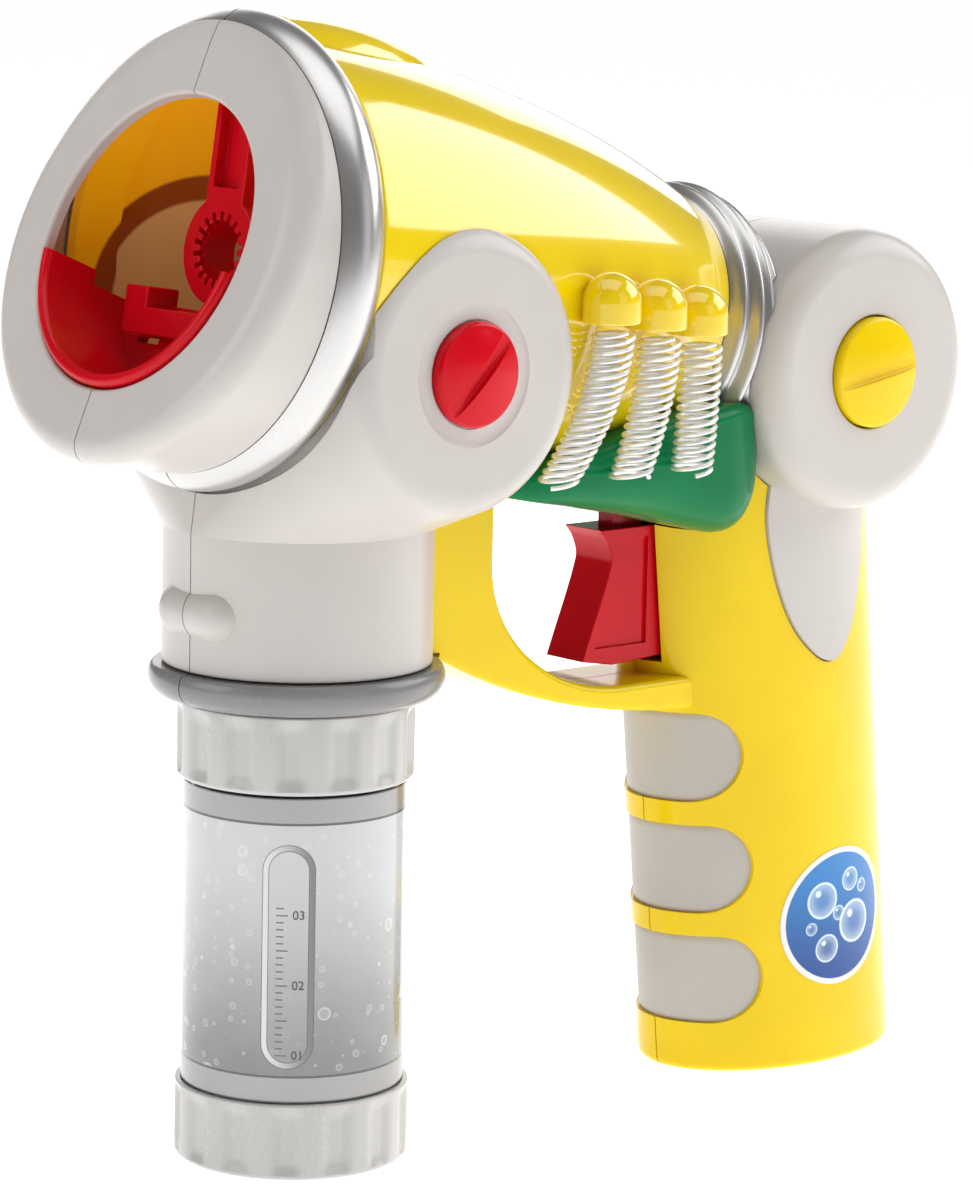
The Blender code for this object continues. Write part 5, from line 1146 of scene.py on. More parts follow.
def cell_wrap():
    """Battery wrap: dark film below, copper above."""
    made, tree, shader = new_finish("cell_wrap")
    place, _, _, height = object_parts(tree)
    high = ramp(tree, height, CELL_BAND_Z, CELL_BAND_Z + CELL_BAND_SOFT)
    scuff = noise(tree, place, 400.0, 4.0)
    put(tree, shader.inputs["Base Color"], blend_colours(tree, high, CELL_DARK_COLOUR, CELL_COPPER_COLOUR))
    put(tree, shader.inputs["Roughness"], ramp(tree, scuff, 0.3, 0.7, 0.22, 0.38))
    put(tree, shader.inputs["Metallic"], calc(tree, "MULTIPLY", high, 0.8))
    shape_light(tree, shader, scuff, 0.05)
    return made


def barrel_places(tree, place):
    """A place in the barrel's own frame, as its three values."""
    values = []
    for row in list(BARREL.inverted())[:3]:
        dot = tree.nodes.new("ShaderNodeVectorMath")
        dot.operation = "DOT_PRODUCT"
        put(tree, dot.inputs[0], place)
        dot.inputs[1].default_value = row[:3]
        values.append(calc(tree, "ADD", dot.outputs["Value"], row[3]))
    return values


def paint_inner_glow(finish):
    """Paint a glow on the inside of the barrel's thin shell, as lit plastic shows, with the ear's painted
    shade on it.
    """
    tree = finish.node_tree
    shader = shader_of(finish)
    place, _, behind, height = object_parts(tree)
    across, down, along = barrel_places(tree, place)
    share = calc(tree, "DIVIDE", calc(tree, "SUBTRACT", along, BARREL_FRONT), BARREL_LENGTH)
    taper = calc(tree, "POWER", calc(tree, "MAXIMUM", share, 0.0), BARREL_CURVE)
    skin = calc(tree, "SUBTRACT", BARREL_FRONT_RADIUS,
                calc(tree, "MULTIPLY", taper, BARREL_FRONT_RADIUS - BARREL_REAR_RADIUS))
    depth = calc(tree, "SUBTRACT", skin, calc(tree, "SQRT", square_sum(tree, across, down)))
    within = ramp(tree, depth, 0.8 * WALL, 0.95 * WALL)
    # the painted glow is stronger towards the barrel's top
    top = ramp(tree, down, -BARREL_FRONT_RADIUS, 0.5 * BARREL_FRONT_RADIUS, 1.0, 0.3)
    away = calc(tree, "SQRT", square_sum(tree, calc(tree, "SUBTRACT", behind, EAR_Y),
                                         calc(tree, "SUBTRACT", height, EAR_Z)))
    # painted shade of the ear behind the wall: a dark ring round a paler disc
    shade = ramp(tree, away, *SHADE_RING_EDGE, 1.0, 0.0)
    disc = ramp(tree, away, *SHADE_DISC_EDGE, 1.0, 0.0)
    light = blend_colours(tree, shade, GLOW_COLOUR, GLOW_RING_COLOUR)
    light = blend_colours(tree, disc, light, GLOW_DISC_COLOUR)
    # painted glow on the inside of the wall
    lit = blend_colours(tree, calc(tree, "MULTIPLY", within, top), UNLIT, light)
    put(tree, shader.inputs["Emission Color"], lit)
    shader.inputs["Emission Strength"].default_value = INNER_GLOW
    skin_colour = shader.inputs["Base Color"].links[0].from_socket
    # painted shade of the ear darkens the wall's own colour
    painted_ear_shade = blend_colours(tree, disc, SHADE_RING_COLOUR, SHADE_DISC_COLOUR)
    put(tree, shader.inputs["Base Color"],
        blend_colours(tree, calc(tree, "MULTIPLY", within, shade), skin_colour, painted_ear_shade))


BOTTLE_PRINT = label_print()
STICKER_PRINT = sticker_print()
CELL_WRAP = cell_wrap()
paint_inner_glow(YELLOW_BARREL)
PRINT_INK = plastic("print_ink", (0.07, 0.07, 0.075), (0.10, 0.10, 0.105), 0.3)


# Muzzle and barrel

def make_bezel():
    """A slanted ring: outside, rounded front edge, face, mouth rim, and back along the inside."""
    slope = math.tan(math.radians(FACE_LEAN))
    turns = [TAU * i / FINE for i in range(FINE)]

    def round_the_axis(radius, depth, bend):
        ring = []
        for turn in turns:
            out = radius - BEZEL_EDGE * (1.0 - math.cos(bend))
            up = out * math.sin(turn)
            front = -FACE_STANDOFF + slope * up + depth
            edge = min(BEZEL_EDGE, max(-0.7 * front, 0.0))
            along = min(front + edge * (1.0 - math.sin(bend)), -SEAM)
            ring.append(station(along, up, out * math.cos(turn)))
        return ring

    def in_the_face(radius, depth):
        return [FACE @ Vector((radius * math.cos(turn), -radius * math.sin(turn), depth)) for turn in turns]

    def at_the_rear(radius):
        return [station(0.0, radius * math.sin(turn), radius * math.cos(turn)) for turn in turns]

    rings = [at_the_rear(BEZEL_RADIUS)]
    rings += [round_the_axis(BEZEL_RADIUS, 0.0, math.radians(10.0 * i)) for i in range(10)]
    rim = arc((MOUTH_RADIUS + MOUTH_ROUNDING, MOUTH_ROUNDING), MOUTH_ROUNDING, -90.0, -180.0, 5)
    rings += [in_the_face(radius, depth) for radius, depth in rim]
    rings.append(in_the_face(MOUTH_RADIUS, WALL))
    rings.append(round_the_axis(BEZEL_RADIUS - WALL, WALL, math.radians(60.0)))
    rings.append(at_the_rear(BEZEL_RADIUS - WALL))
    halves(lofted("bezel_ring", rings, True), WHITE_SHELL, "bezel")


def make_muzzle_ring():
    """A ring with one full bead round it."""
    count = 26
    profile = [(SPIGOT_RADIUS + GAP, GAP)]
    for i in range(count + 1):
        share = i / count
        bead = RING_BEAD * math.sin(math.pi * share) ** BEAD_POWER
        profile.append((BEZEL_RADIUS + bead, GAP + RING_LENGTH * share))
    profile.append((SPIGOT_RADIUS + GAP, GAP + RING_LENGTH))
    halves(spun("muzzle_bead", profile, BARREL, FINE, True), SILVER_PAINT, "muzzle_ring")


def dome_place(index, side):
    """Middle of a dome's round top."""
    along = DOME_FIRST + index * DOME_PITCH
    return station(along, 0.0, side * (barrel_radius(along) + DOME_STANDOFF))


def make_hump():
    """The raised egg on the barrel's top, cut to sit on its skin."""
    bpy.ops.object.select_all(action="DESELECT")
    bpy.ops.mesh.primitive_uv_sphere_add(segments=SMALL, ring_count=SMALL, radius=0.5)
    hump = bpy.context.active_object
    egg = Matrix.Diagonal((HUMP_WIDTH, 2.0 * HUMP_DEPTH, HUMP_LENGTH, 1.0))
    rise = barrel_radius(HUMP_STATION) + HUMP_RISE - HUMP_DEPTH
    fall = barrel_radius(HUMP_STATION) - barrel_radius(HUMP_STATION + WALL)
    lean = Matrix.Rotation(math.atan(fall / WALL), 4, "X")
    hump.matrix_world = BARREL @ Matrix.Translation((0.0, -rise, HUMP_STATION)) @ lean @ egg
    bpy.ops.object.transform_apply(location=True, rotation=True, scale=True)
    return carve(hump, barrel_solid("hump_bore", -0.5 * WALL, GAP, BARREL_REAR),
                 rod("hump_front", 2.0 * BEZEL_RADIUS, -BEZEL_RADIUS, BARREL_FRONT + GAP, BARREL))


def make_dome(index, side):
    """A round-topped post, cut to sit on the barrel's side."""
    profile = arc((0.0, 0.0), DOME_RADIUS, 90.0, 0.0, 12)
    profile[0] = (0.0, DOME_RADIUS)
    profile += arc((DOME_RADIUS - SHELL_EDGE, SHELL_EDGE - DOME_SKIRT), SHELL_EDGE, 0.0, -90.0, 3)
    profile.append((0.0, -DOME_SKIRT))
    dome = spun("dome", profile, Matrix.Translation(dome_place(index, side)), SMALL)
    return carve(dome, barrel_solid("dome_bore", -0.5 * WALL, GAP, BARREL_REAR))


def make_barrel():
    """A thin shell with a spigot in front, its hump and its domes."""
    outer = [(SPIGOT_RADIUS, GAP), (SPIGOT_RADIUS, BARREL_FRONT)]
    outer += arc((BARREL_FRONT_RADIUS - SHELL_EDGE, BARREL_FRONT + SHELL_EDGE), SHELL_EDGE, -90.0, 0.0, 4)
    outer += barrel_line(0.0, BARREL_FRONT + 2.0 * SHELL_EDGE, BARREL_REAR - SHELL_EDGE)
    outer += [(BARREL_REAR_RADIUS - SHELL_EDGE, BARREL_REAR)]
    inner = [(SPIGOT_RADIUS - WALL, GAP), (SPIGOT_RADIUS - WALL, BARREL_FRONT)]
    inner += barrel_line(-WALL, BARREL_FRONT + WALL, BARREL_REAR)
    barrel = spun("barrel", outer + inner[::-1], BARREL, FINE, True)
    weld(barrel, make_hump())
    for side in SIDE_NAMES:
        for index in range(DOME_COUNT):
            weld(barrel, make_dome(index, side))
    carve(barrel, hose_room(), arm_slot())
    halves(barrel, YELLOW_BARREL, "barrel")


def arm_slot():
    """Room for the tip of the trigger's arm in the barrel's floor."""
    wide = ARM_HALF_WIDTH + TRIGGER_SLOT
    return block("arm_slot", (-wide, ARM_TIP[0] - TRIGGER_SLOT, ARM_ROOM_LOW_Z),
                 (wide, ARM_TIP[1] + TRIGGER_TRAVEL + TRIGGER_SLOT, ARM_ROOM_HIGH_Z))


def make_side_spring(index, side):
    """A wound wire from under its dome, bowing outwards to the pod's side."""
    name = "side_spring_%s_%d" % (SIDE_NAMES[side], index + 1)
    top = dome_place(index, side)
    top.x += side * (SPRING_STANDOFF - DOME_STANDOFF)
    top.z -= DOME_SKIRT
    foot_y = top.y + SPRING_FOOT_SHIFTS[index]
    foot = Vector((side * (pod_half_width(foot_y) + SPRING_STANDOFF), foot_y, SPRING_FOOT_Z))
    coil = SPRING_RADIUS - 0.5 * SPRING_WIRE
    top.z -= SPRING_TILT * coil + SPRING_WIRE
    curls = (foot - top).length / SPRING_PITCH
    count = int(curls * WIRE_POINTS)
    path = []
    for i in range(count + 1):
        share = i / count
        turn = TAU * curls * share
        lean = share ** SPRING_BOW
        behind = -coil * math.sin(turn)
        path.append(Vector((top.x + (foot.x - top.x) * lean + side * coil * math.cos(turn),
                            top.y + (foot.y - top.y) * lean + behind,
                            top.z + (foot.z - top.z) * share + SPRING_TILT * behind)))
    dress(wire(name + "_wire", path, 0.5 * SPRING_WIRE), SPRING_BRIGHT, "gun", name)


def bellows_solid(name, grow, depth):
    """The bellows as a solid that widens and drops towards the rear housing."""
    sections = []
    for along, crest, drop in smooth_path(BELLOWS_LINE, 16):
        wave = (0.5 - 0.5 * math.cos(TAU * along / BELLOWS_PITCH)) ** BELLOWS_FULLNESS
        radius = crest + grow - depth * (1.0 - wave)
        ring = arc((0.0, 0.0), radius, 0.0, 360.0, ROUND)[:-1]
        middle = BARREL_REAR + GAP + along
        sections.append([tuple(station(middle, y - drop, x)) for x, y in ring])
    return lofted(name, sections)


def make_bellows():
    """The ribbed neck, bored through, with room for the drum and the trigger's arm."""
    bellows = bellows_solid("bellows_ribs", 0.0, BELLOWS_DEPTH)
    bore = rod("bellows_bore", BELLOWS_BORE, BARREL_REAR - WALL, 2.0 * BARREL_REAR, BARREL)
    carve(bellows, drum_room(), bore, *arm_rooms())
    dress(bellows, SILVER_PAINT, "gun", "bellows_neck")


# Socket, knobs, collar and bottle

def make_lug():
    """A round-ended bar across the socket's front."""
    tall = 0.5 * LUG_HEIGHT
    end = 0.5 * LUG_WIDTH - tall
    pill = arc((0.0, -end), tall, -90.0, 0.0, 12) + arc((0.0, end), tall, 0.0, 90.0, 12)
    pill[0] = (0.0, -end - tall)
    pill[-1] = (0.0, end + tall)
    place = Matrix.Translation((0.0, tall - SOCKET_RADIUS - LUG_RISE, LUG_Z))
    return spun("lug", pill, place @ across_frame(LEFT), SMALL)


def ear_dish(side):
    """Room for a knob in an ear, with a bowed rim."""
    floor = EAR_FACE - EAR_SEAT
    seat = EAR_KNOB_RADIUS + GAP
    rim = (EAR_DISH_RADIUS, EAR_FACE + GAP)
    profile = [(0.0, floor), (seat, floor)]
    profile += bow((seat, EAR_FACE - 0.5 * EAR_SEAT), (EAR_DISH_RADIUS, floor), rim, 6)
    profile.append((0.0, EAR_FACE + GAP))
    return spun("ear_dish", profile, EAR_PLACE @ across_frame(side))


def make_socket():
    """The cup for the bottle, with both ears, the lug and the room for the muzzle."""
    foot = SOCKET_FOOT_Z
    profile = [(0.0, foot), (SOCKET_RADIUS - SHELL_EDGE, foot)]
    profile += arc((SOCKET_RADIUS - SHELL_EDGE, foot + SHELL_EDGE), SHELL_EDGE, -90.0, 0.0, 3)
    rows = 12
    tall = SOCKET_FLARE_Z - WALL + YOKE_LIP - foot
    profile += [(SOCKET_RADIUS, foot + tall * (i + 1) / rows) for i in range(rows)]
    profile.append((0.0, foot + tall))
    socket = spun("socket_cup", profile, UPRIGHT, FINE)
    weld(socket, yoke_solid("yoke", 0.0))
    weld(socket, make_lug())
    muzzle = BEZEL_RADIUS + RING_BEAD + GAP
    carve(socket, rod("muzzle_room", muzzle, -2.0 * BEZEL_RADIUS, BARREL_FRONT, BARREL),
          barrel_room(BARREL_REAR),
          rod("socket_bore", SOCKET_RADIUS - WALL, 0.0, SOCKET_ROOF_Z))
    for side in SIDE_NAMES:
        carve(socket, ear_dish(side))
    carve(socket, hose_room())
    halves(socket, WHITE_SHELL, "socket")


def make_knob(node, side, place, radius, foot, top, slot_degrees, finish):
    """A domed round button with a slot across its face."""
    flat = radius - KNOB_EDGE
    profile = []
    for share in [i / 10 for i in range(11)]:
        profile.append((share * flat, top - KNOB_CROWN * share * share))
    profile += arc((flat, top - KNOB_CROWN - KNOB_EDGE), KNOB_EDGE, 75.0, 0.0, 6)
    profile += [(radius, foot), (0.0, foot)]
    frame_out = place @ across_frame(side)
    knob = spun(node + "_button", profile, frame_out)
    turn = Matrix.Rotation(math.radians(slot_degrees), 4, "Z")
    slot = block("knob_slot", (-0.5 * KNOB_SLOT, -2.0 * radius, top - 0.5 * KNOB_RISE),
                 (0.5 * KNOB_SLOT, 2.0 * radius, top + 2.0 * KNOB_RISE), frame_out @ turn)
    carve(knob, soften(slot, 0.2 * KNOB_SLOT))
    dress(knob, finish, "gun", node)


def make_collar():
    """A round roll, flat where it meets the socket."""
    top = SOCKET_FOOT_Z - GAP
    round_line = arc((COLLAR_RADIUS, COLLAR_Z), COLLAR_TUBE, 0.0, 350.0, 35)
    profile = [(radius, min(height, top)) for radius, height in round_line]
    halves(spun("collar", profile, UPRIGHT, FINE, True), GREY_COLLAR, "collar_ring")


def flute_ring(radius, height, depth):
    """A round with shallow grooves."""
    ring = []
    for i in range(FLUTE_COUNT * FLUTE_POINTS):
        share = (i % FLUTE_POINTS) / FLUTE_POINTS
        slope = min(max((0.5 - abs(share - 0.5) - FLUTE_LAND) / FLUTE_SLOPE, 0.0), 1.0)
        groove = depth * slope * slope * (3.0 - 2.0 * slope)
        turn = TAU * i / (FLUTE_COUNT * FLUTE_POINTS) + FLUTE_TURN
        ring.append(((radius - groove) * math.cos(turn), (radius - groove) * math.sin(turn), height))
    return ring


def fluted_wall(radius, low, high):
    """Rings up the outside of a bottle ring: the grooves run out before its rounded edges."""
    foot = arc((radius - RING_EDGE, low + RING_EDGE), RING_EDGE, -90.0, 0.0, 5)
    edge = 0.5 * RING_EDGE
    top = arc((radius - edge, high - edge), edge, 0.0, 90.0, 4)
    rings = [flute_ring(out, height, 0.0) for out, height in foot]
    for share, depth in FLUTE_ENDS:
        rings.append(flute_ring(radius, low + share * (high - low), depth * FLUTE_DEPTH))
    return rings + [flute_ring(out, height, 0.0) for out, height in top]


def make_bottle_body():
    """A thin wall with a rounded foot and shoulder and a plain neck."""
    wall = BOTTLE_WALL
    foot = wall + 2.0 * GAP
    bend = BASE_CUP_EDGE
    neck = NECK_RADIUS - wall
    low = (BOTTLE_RADIUS - bend, foot + bend)
    high = (BOTTLE_RADIUS - bend, SHOULDER_Z - bend)
    outer = [(0.0, foot)]
    outer += arc(low, bend, -90.0, 0.0, 8) + arc(high, bend, 0.0, 90.0, 8)
    outer += [(NECK_RADIUS, SHOULDER_Z), (NECK_RADIUS, NECK_TOP_Z)]
    inner = [(0.0, foot + wall)]
    inner += arc(low, bend - wall, -90.0, 0.0, 8) + arc(high, bend - wall, 0.0, 90.0, 8)
    inner += [(neck, SHOULDER_Z - wall), (neck, NECK_TOP_Z)]
    dress(spun("bottle_wall", outer + inner[::-1], UPRIGHT, FINE), CLEAR_BOTTLE, "bottle", "bottle_body")


def make_bottle_label():
    """The printed sheet round the bottle."""
    near = BOTTLE_RADIUS + 0.4 * LABEL_LIFT
    far = BOTTLE_RADIUS + LABEL_LIFT
    sheet = [(near, LABEL_LOW_Z), (far, LABEL_LOW_Z), (far, LABEL_HIGH_Z), (near, LABEL_HIGH_Z)]
    dress(spun("bottle_label", sheet, UPRIGHT, FINE, True), BOTTLE_PRINT, "bottle")


def make_cap_ring():
    """The fluted ring round the bottle's neck."""
    low = SHOULDER_Z + GAP
    high = low + CAP_HEIGHT
    bore = NECK_RADIUS + GAP
    rings = [flute_ring(bore, low, 0.0)]
    rings += fluted_wall(CAP_RADIUS, low, high)
    rings.append(flute_ring(bore, high, 0.0))
    dress(lofted("cap_ring", rings, True), PALE_RING, "bottle", "bottle_cap_ring")


def make_base_cup():
    """A fluted cup with room for the bottle's foot."""
    bend = BASE_CUP_EDGE
    cup = lofted("base_cup", fluted_wall(BASE_CUP_RADIUS, 0.0, BASE_CUP_HEIGHT))
    seat = BOTTLE_RADIUS + 0.5 * GAP
    floor = BOTTLE_WALL + GAP
    room = [(0.0, floor)] + arc((seat - bend, floor + bend), bend, -90.0, 0.0, 8)
    room += [(seat, 2.0 * BASE_CUP_HEIGHT), (0.0, 2.0 * BASE_CUP_HEIGHT)]
    carve(cup, spun("cup_room", room))
    dress(cup, PALE_RING, "bottle", "bottle_base_cup")


def make_scale_number(index):
    """A printed number, wrapped round the bottle."""
    bpy.ops.object.select_all(action="DESELECT")
    bpy.ops.object.text_add()
    text = bpy.context.active_object
    text.data.body = "%02d" % (index + 1)
    text.data.size = NUMBER_SIZE
    text.data.align_y = "CENTER"
    bpy.ops.object.convert(target="MESH")
    number = bpy.context.active_object
    number.name = "scale_number_%d" % (index + 1)
    radius = BOTTLE_RADIUS + 1.5 * LABEL_LIFT
    height = SCALE_FIRST_Z + index * SCALE_STEP
    for vert in number.data.vertices:
        turn = FACING + (NUMBER_LEFT + vert.co.x) / radius
        vert.co = (radius * math.cos(turn), radius * math.sin(turn), height + vert.co.y)
    dress(number, PRINT_INK, "bottle")


# Rear housing, pod and grip

def make_tongue(side, grow):
    """A flat outline wrapped on the grip's side."""
    outline = [tuple(p) for p in smooth_path(TONGUE_OUTLINE, 8)]
    if grow:
        middle = Vector((sum(y for y, z in outline), sum(z for y, z in outline))) / len(outline)
        outline = [tuple(Vector(p) + (Vector(p) - middle).normalized() * grow) for p in outline]
    ends = sorted((side * 0.2 * GRIP_HALF_WIDTH, side * 2.0 * GRIP_HALF_WIDTH))
    tongue = slab("tongue", outline, ends[0], ends[1])
    if not grow:
        trim_to(tongue, grip_solid("tongue_outside", TONGUE_RISE, 0.0, 1.1 * GRIP_TOP_Z))
    return carve(tongue, grip_solid("tongue_inside", -TONGUE_DEPTH - grow, 0.0, 1.2 * GRIP_TOP_Z))


def make_rear_housing(side):
    """Half of the drum, with a seat for its knob, and the tongue on its side of the grip."""
    node = "rear_housing_" + SIDE_NAMES[side]
    seat = DRUM_FACE - DRUM_SEAT
    knob = REAR_KNOB_RADIUS + GAP
    profile = [(0.0, seat), (knob, seat)]
    profile += arc((knob + SHELL_EDGE, DRUM_FACE - SHELL_EDGE), SHELL_EDGE, 180.0, 90.0, 3)
    profile += arc((DRUM_RADIUS - DRUM_EDGE, DRUM_FACE - DRUM_EDGE), DRUM_EDGE, 90.0, 0.0, 14)
    profile += [(DRUM_RADIUS, SEAM), (DRUM_RADIUS - WALL, SEAM), (DRUM_RADIUS - WALL, seat - DRUM_EDGE),
                (DRUM_RADIUS - DRUM_EDGE, seat - WALL), (0.0, seat - WALL)]
    housing = spun(node + "_drum", profile, DRUM_PLACE @ across_frame(side), FINE)
    dress(weld(housing, make_tongue(side, 0.0)), WHITE_SHELL, "gun", node)


def make_pod():
    """The pod, cut back where the barrel, drum, socket and bellows lie in it."""
    pod = pod_solid("pod", 0.0)
    carve(pod, barrel_room(BARREL_REAR + GAP), drum_room(), yoke_solid("yoke_room", GAP),
          bellows_solid("bellows_room", GAP, 0.0), *arm_rooms())
    halves(pod, GREEN_POD, "pod")


def arm_rooms():
    """Room for the trigger's arm inside the pod and through its floor, and for the trigger's top."""
    wide = ARM_HALF_WIDTH + TRIGGER_SLOT
    rear = ARM_POST[1] + TRIGGER_TRAVEL + TRIGGER_SLOT
    front = ARM_TIP[0] - TRIGGER_SLOT
    room = block("arm_room", (-wide, front, ARM_ROOM_LOW_Z - TRIGGER_SLOT), (wide, rear, ARM_ROOM_HIGH_Z))
    door = block("arm_door", (-wide, ARM_POST[0] - TRIGGER_SLOT, STOP_TOP_Z - WALL), (wide, rear, ARM_TOP_Z))
    wide = TRIGGER_HALF_WIDTH + TRIGGER_SLOT
    top = block("trigger_top_room", (-wide, TRIGGER_FRONT_Y - 2.0 * TRIGGER_SLOT, STOP_TOP_Z - WALL),
                (wide, TRIGGER_REAR_Y + TRIGGER_TRAVEL + TRIGGER_SLOT, TRIGGER_TOP_Z + TRIGGER_SLOT))
    return room, door, top


def pad_place(index):
    """Where a finger pad's round end has its middle: along the gun, and over the ground."""
    height = PAD_LOW_Z + index * PAD_PITCH
    return grip_front(height) + PAD_REACH - index * PAD_STEP - 0.5 * PAD_HEIGHT, height


def pad_prism(name, index, grow):
    """A round-ended outline of a pad, cut right across the grip."""
    centre, middle = pad_place(index)
    front = grip_front(middle)
    radius = 0.5 * PAD_HEIGHT + grow
    outline = [(front - PAD_HEIGHT, middle - radius)]
    outline += arc((centre, middle), radius, -90.0, 90.0, 32)
    outline.append((front - PAD_HEIGHT, middle + radius))
    return slab(name, outline, -2.0 * GRIP_HALF_WIDTH, 2.0 * GRIP_HALF_WIDTH)


def door_prism(name, grow):
    """The battery door's outline, from the grip's right side inwards."""
    low = DOOR_LOW_Z - grow
    high = DOOR_LOW_Z + DOOR_HEIGHT + grow
    wide = DOOR_HALF_WIDTH + grow
    outline = []
    for z, way in ((low, -1), (low, 1), (high, 1), (high, -1)):
        outline.append((grip_axis(z) + way * wide, z))
    return slab(name, outline, -2.0 * GRIP_HALF_WIDTH, -0.4 * GRIP_HALF_WIDTH)


def make_guard():
    """The bow under the trigger, with the opening for the finger."""
    gap_line = []
    for degrees in range(270, 179, -3):
        turn = math.radians(degrees)
        gap_line.append((FINGER_Y + FINGER_HALF_LENGTH * math.cos(turn),
                         FINGER_Z + FINGER_HALF_HEIGHT * math.sin(turn)))
    outline = bow(GUARD_START, GUARD_PULL, GUARD_END, 30)
    outline += [(GUARD_END[0], FINGER_Z - FINGER_HALF_HEIGHT)] + gap_line
    outline += [(gap_line[-1][0], GUARD_TOP_Z), (GUARD_START[0], GUARD_TOP_Z)]
    guard = soften(slab("guard", outline, -GUARD_HALF_WIDTH, GUARD_HALF_WIDTH), GUARD_EDGE, 4)
    return carve(guard, grip_solid("guard_end", -0.5 * GRIP_WALL, 0.0, GRIP_TOP_Z))


def make_grip():
    """A hollow grip with its guard and the seats of all that meets it."""
    edge = GRIP_FOOT_EDGE
    rings = [grip_ring(out - edge, edge + up) for out, up in arc((0.0, 0.0), edge, -90.0, 0.0, 5)]
    rings.append(grip_ring(0.0, GRIP_TOP_Z))
    grip = lofted("grip", rings)
    carve(grip, grip_solid("grip_hollow", -GRIP_WALL, GRIP_FLOOR, GRIP_TOP_Z + GRIP_WALL))
    weld(grip, make_guard())
    reach = GRIP_HALF_WIDTH - 0.6 * GRIP_WALL
    weld(grip, block("spring_rib", (-reach, RIB_Y, RIB_LOW_Z), (reach, RIB_Y + RIB_THICK, RIB_HIGH_Z)))
    wide = TRIGGER_HALF_WIDTH + TRIGGER_SLOT
    slot = block("trigger_slot", (-wide, FINGER_Y, TRIGGER_FOOT_Z - 3.0 * TRIGGER_SLOT),
                 (wide, grip_front(TRIGGER_FOOT_Z) + 1.5 * GRIP_WALL, TRIGGER_TOP_Z + TRIGGER_SLOT))
    cup = SOCKET_RADIUS + GAP
    collar = COLLAR_RADIUS + COLLAR_TUBE + GAP
    socket = spun("socket_room", [(0.0, EAR_Z), (cup, EAR_Z), (cup, SOCKET_FOOT_Z), (collar, SOCKET_FOOT_Z),
                                  (collar, 0.0), (0.0, 0.0)])
    carve(grip, slot, pod_solid("pod_room", GAP), drum_room(), barrel_room(BARREL_REAR + GAP),
          yoke_solid("yoke_room", GAP), socket, *arm_rooms())
    for side in SIDE_NAMES:
        carve(grip, make_tongue(side, GAP))
    for index in range(PAD_COUNT):
        seat = pad_prism("pad_seat", index, 0.5 * GAP)
        carve(seat, grip_solid("pad_floor", -PAD_SINK - PAD_THICK - GAP, -GAP, GRIP_TOP_Z + GAP))
        carve(grip, seat)
    carve(grip, door_prism("door_way", 0.5 * GAP))
    halves(grip, YELLOW_SHELL, "grip")


def make_finger_pad(index):
    """A patch of the grip's front, set a little below it, with its edges rounded off."""
    node = "finger_pad_%d" % (index + 1)
    centre, middle = pad_place(index)
    radius = 0.5 * PAD_HEIGHT
    bpy.ops.object.select_all(action="DESELECT")
    bpy.ops.mesh.primitive_grid_add(x_subdivisions=PAD_COLUMNS, y_subdivisions=PAD_ROWS, size=2.0)
    pad = bpy.context.active_object
    pad.name = node + "_face"
    bpy.ops.object.mode_set(mode="EDIT")
    work = bmesh.from_edit_mesh(pad.data)
    for vert in work.verts:
        u = math.sin(0.5 * math.pi * vert.co.x)
        v = math.sin(0.5 * math.pi * vert.co.y)
        z = middle + radius * v
        axis = grip_axis(z)
        edge_y = centre + radius * math.sqrt(max(1.0 - v * v, 0.0))
        widest = math.acos((axis - edge_y) / GRIP_HALF_DEPTH)
        near = min(radius * (1.0 - abs(v)), (1.0 - abs(u)) * widest * GRIP_HALF_WIDTH)
        bend = max(1.0 - near / PAD_ROUNDING, 0.0)
        sink = PAD_SINK + PAD_ROUNDING * (1.0 - math.sqrt(1.0 - bend * bend)) * PAD_EDGE_DROP
        turn = u * widest
        wide = GRIP_HALF_WIDTH - sink
        deep = GRIP_HALF_DEPTH - sink
        vert.co = (wide * math.sin(turn), axis - deep * math.cos(turn), z)
    bmesh.update_edit_mesh(pad.data)
    bpy.ops.mesh.select_all(action="SELECT")
    bpy.ops.mesh.normals_make_consistent(inside=False)
    bpy.ops.object.mode_set(mode="OBJECT")
    choose(pad)
    back = pad.modifiers.new("back", "SOLIDIFY")
    back.thickness = 0.5 * PAD_THICK
    back.offset = -1.0 if pad.data.polygons[0].normal.y < 0.0 else 1.0
    bpy.ops.object.modifier_apply(modifier=back.name)
    dress(pad, PAD_WHITE, "gun", node)


def make_battery_door():
    """A piece of the grip's right side."""
    door = door_prism("battery_door_cover", 0.0)
    trim_to(door, grip_solid("door_outside", 0.0, 0.0, GRIP_TOP_Z))
    carve(door, grip_solid("door_inside", -DOOR_THICK, -GAP, GRIP_TOP_Z + GAP))
    dress(door, YELLOW_SHELL, "battery_door", "battery_door")


def make_sticker():
    """An oval sheet on the grip's left side."""
    rows = 14
    profile = [(STICKER_RADIUS * i / rows, 0.0) for i in range(rows + 1)]
    wide = Matrix.Diagonal((1.0, STICKER_STRETCH, 1.0, 1.0))
    disc = spun("grip_sticker", profile,
                Matrix.Translation((0.0, STICKER_Y, STICKER_Z)) @ wide @ across_frame(LEFT))
    choose(disc)
    bpy.ops.object.mode_set(mode="EDIT")
    work = bmesh.from_edit_mesh(disc.data)
    for vert in work.verts:
        behind = (vert.co.y - grip_axis(vert.co.z)) / GRIP_HALF_DEPTH
        vert.co.x = GRIP_HALF_WIDTH * math.sqrt(1.0 - behind * behind) + STICKER_THICK
    bmesh.update_edit_mesh(disc.data)
    bpy.ops.object.mode_set(mode="OBJECT")
    dress(disc, STICKER_PRINT, "gun")


# Trigger, springs and hose

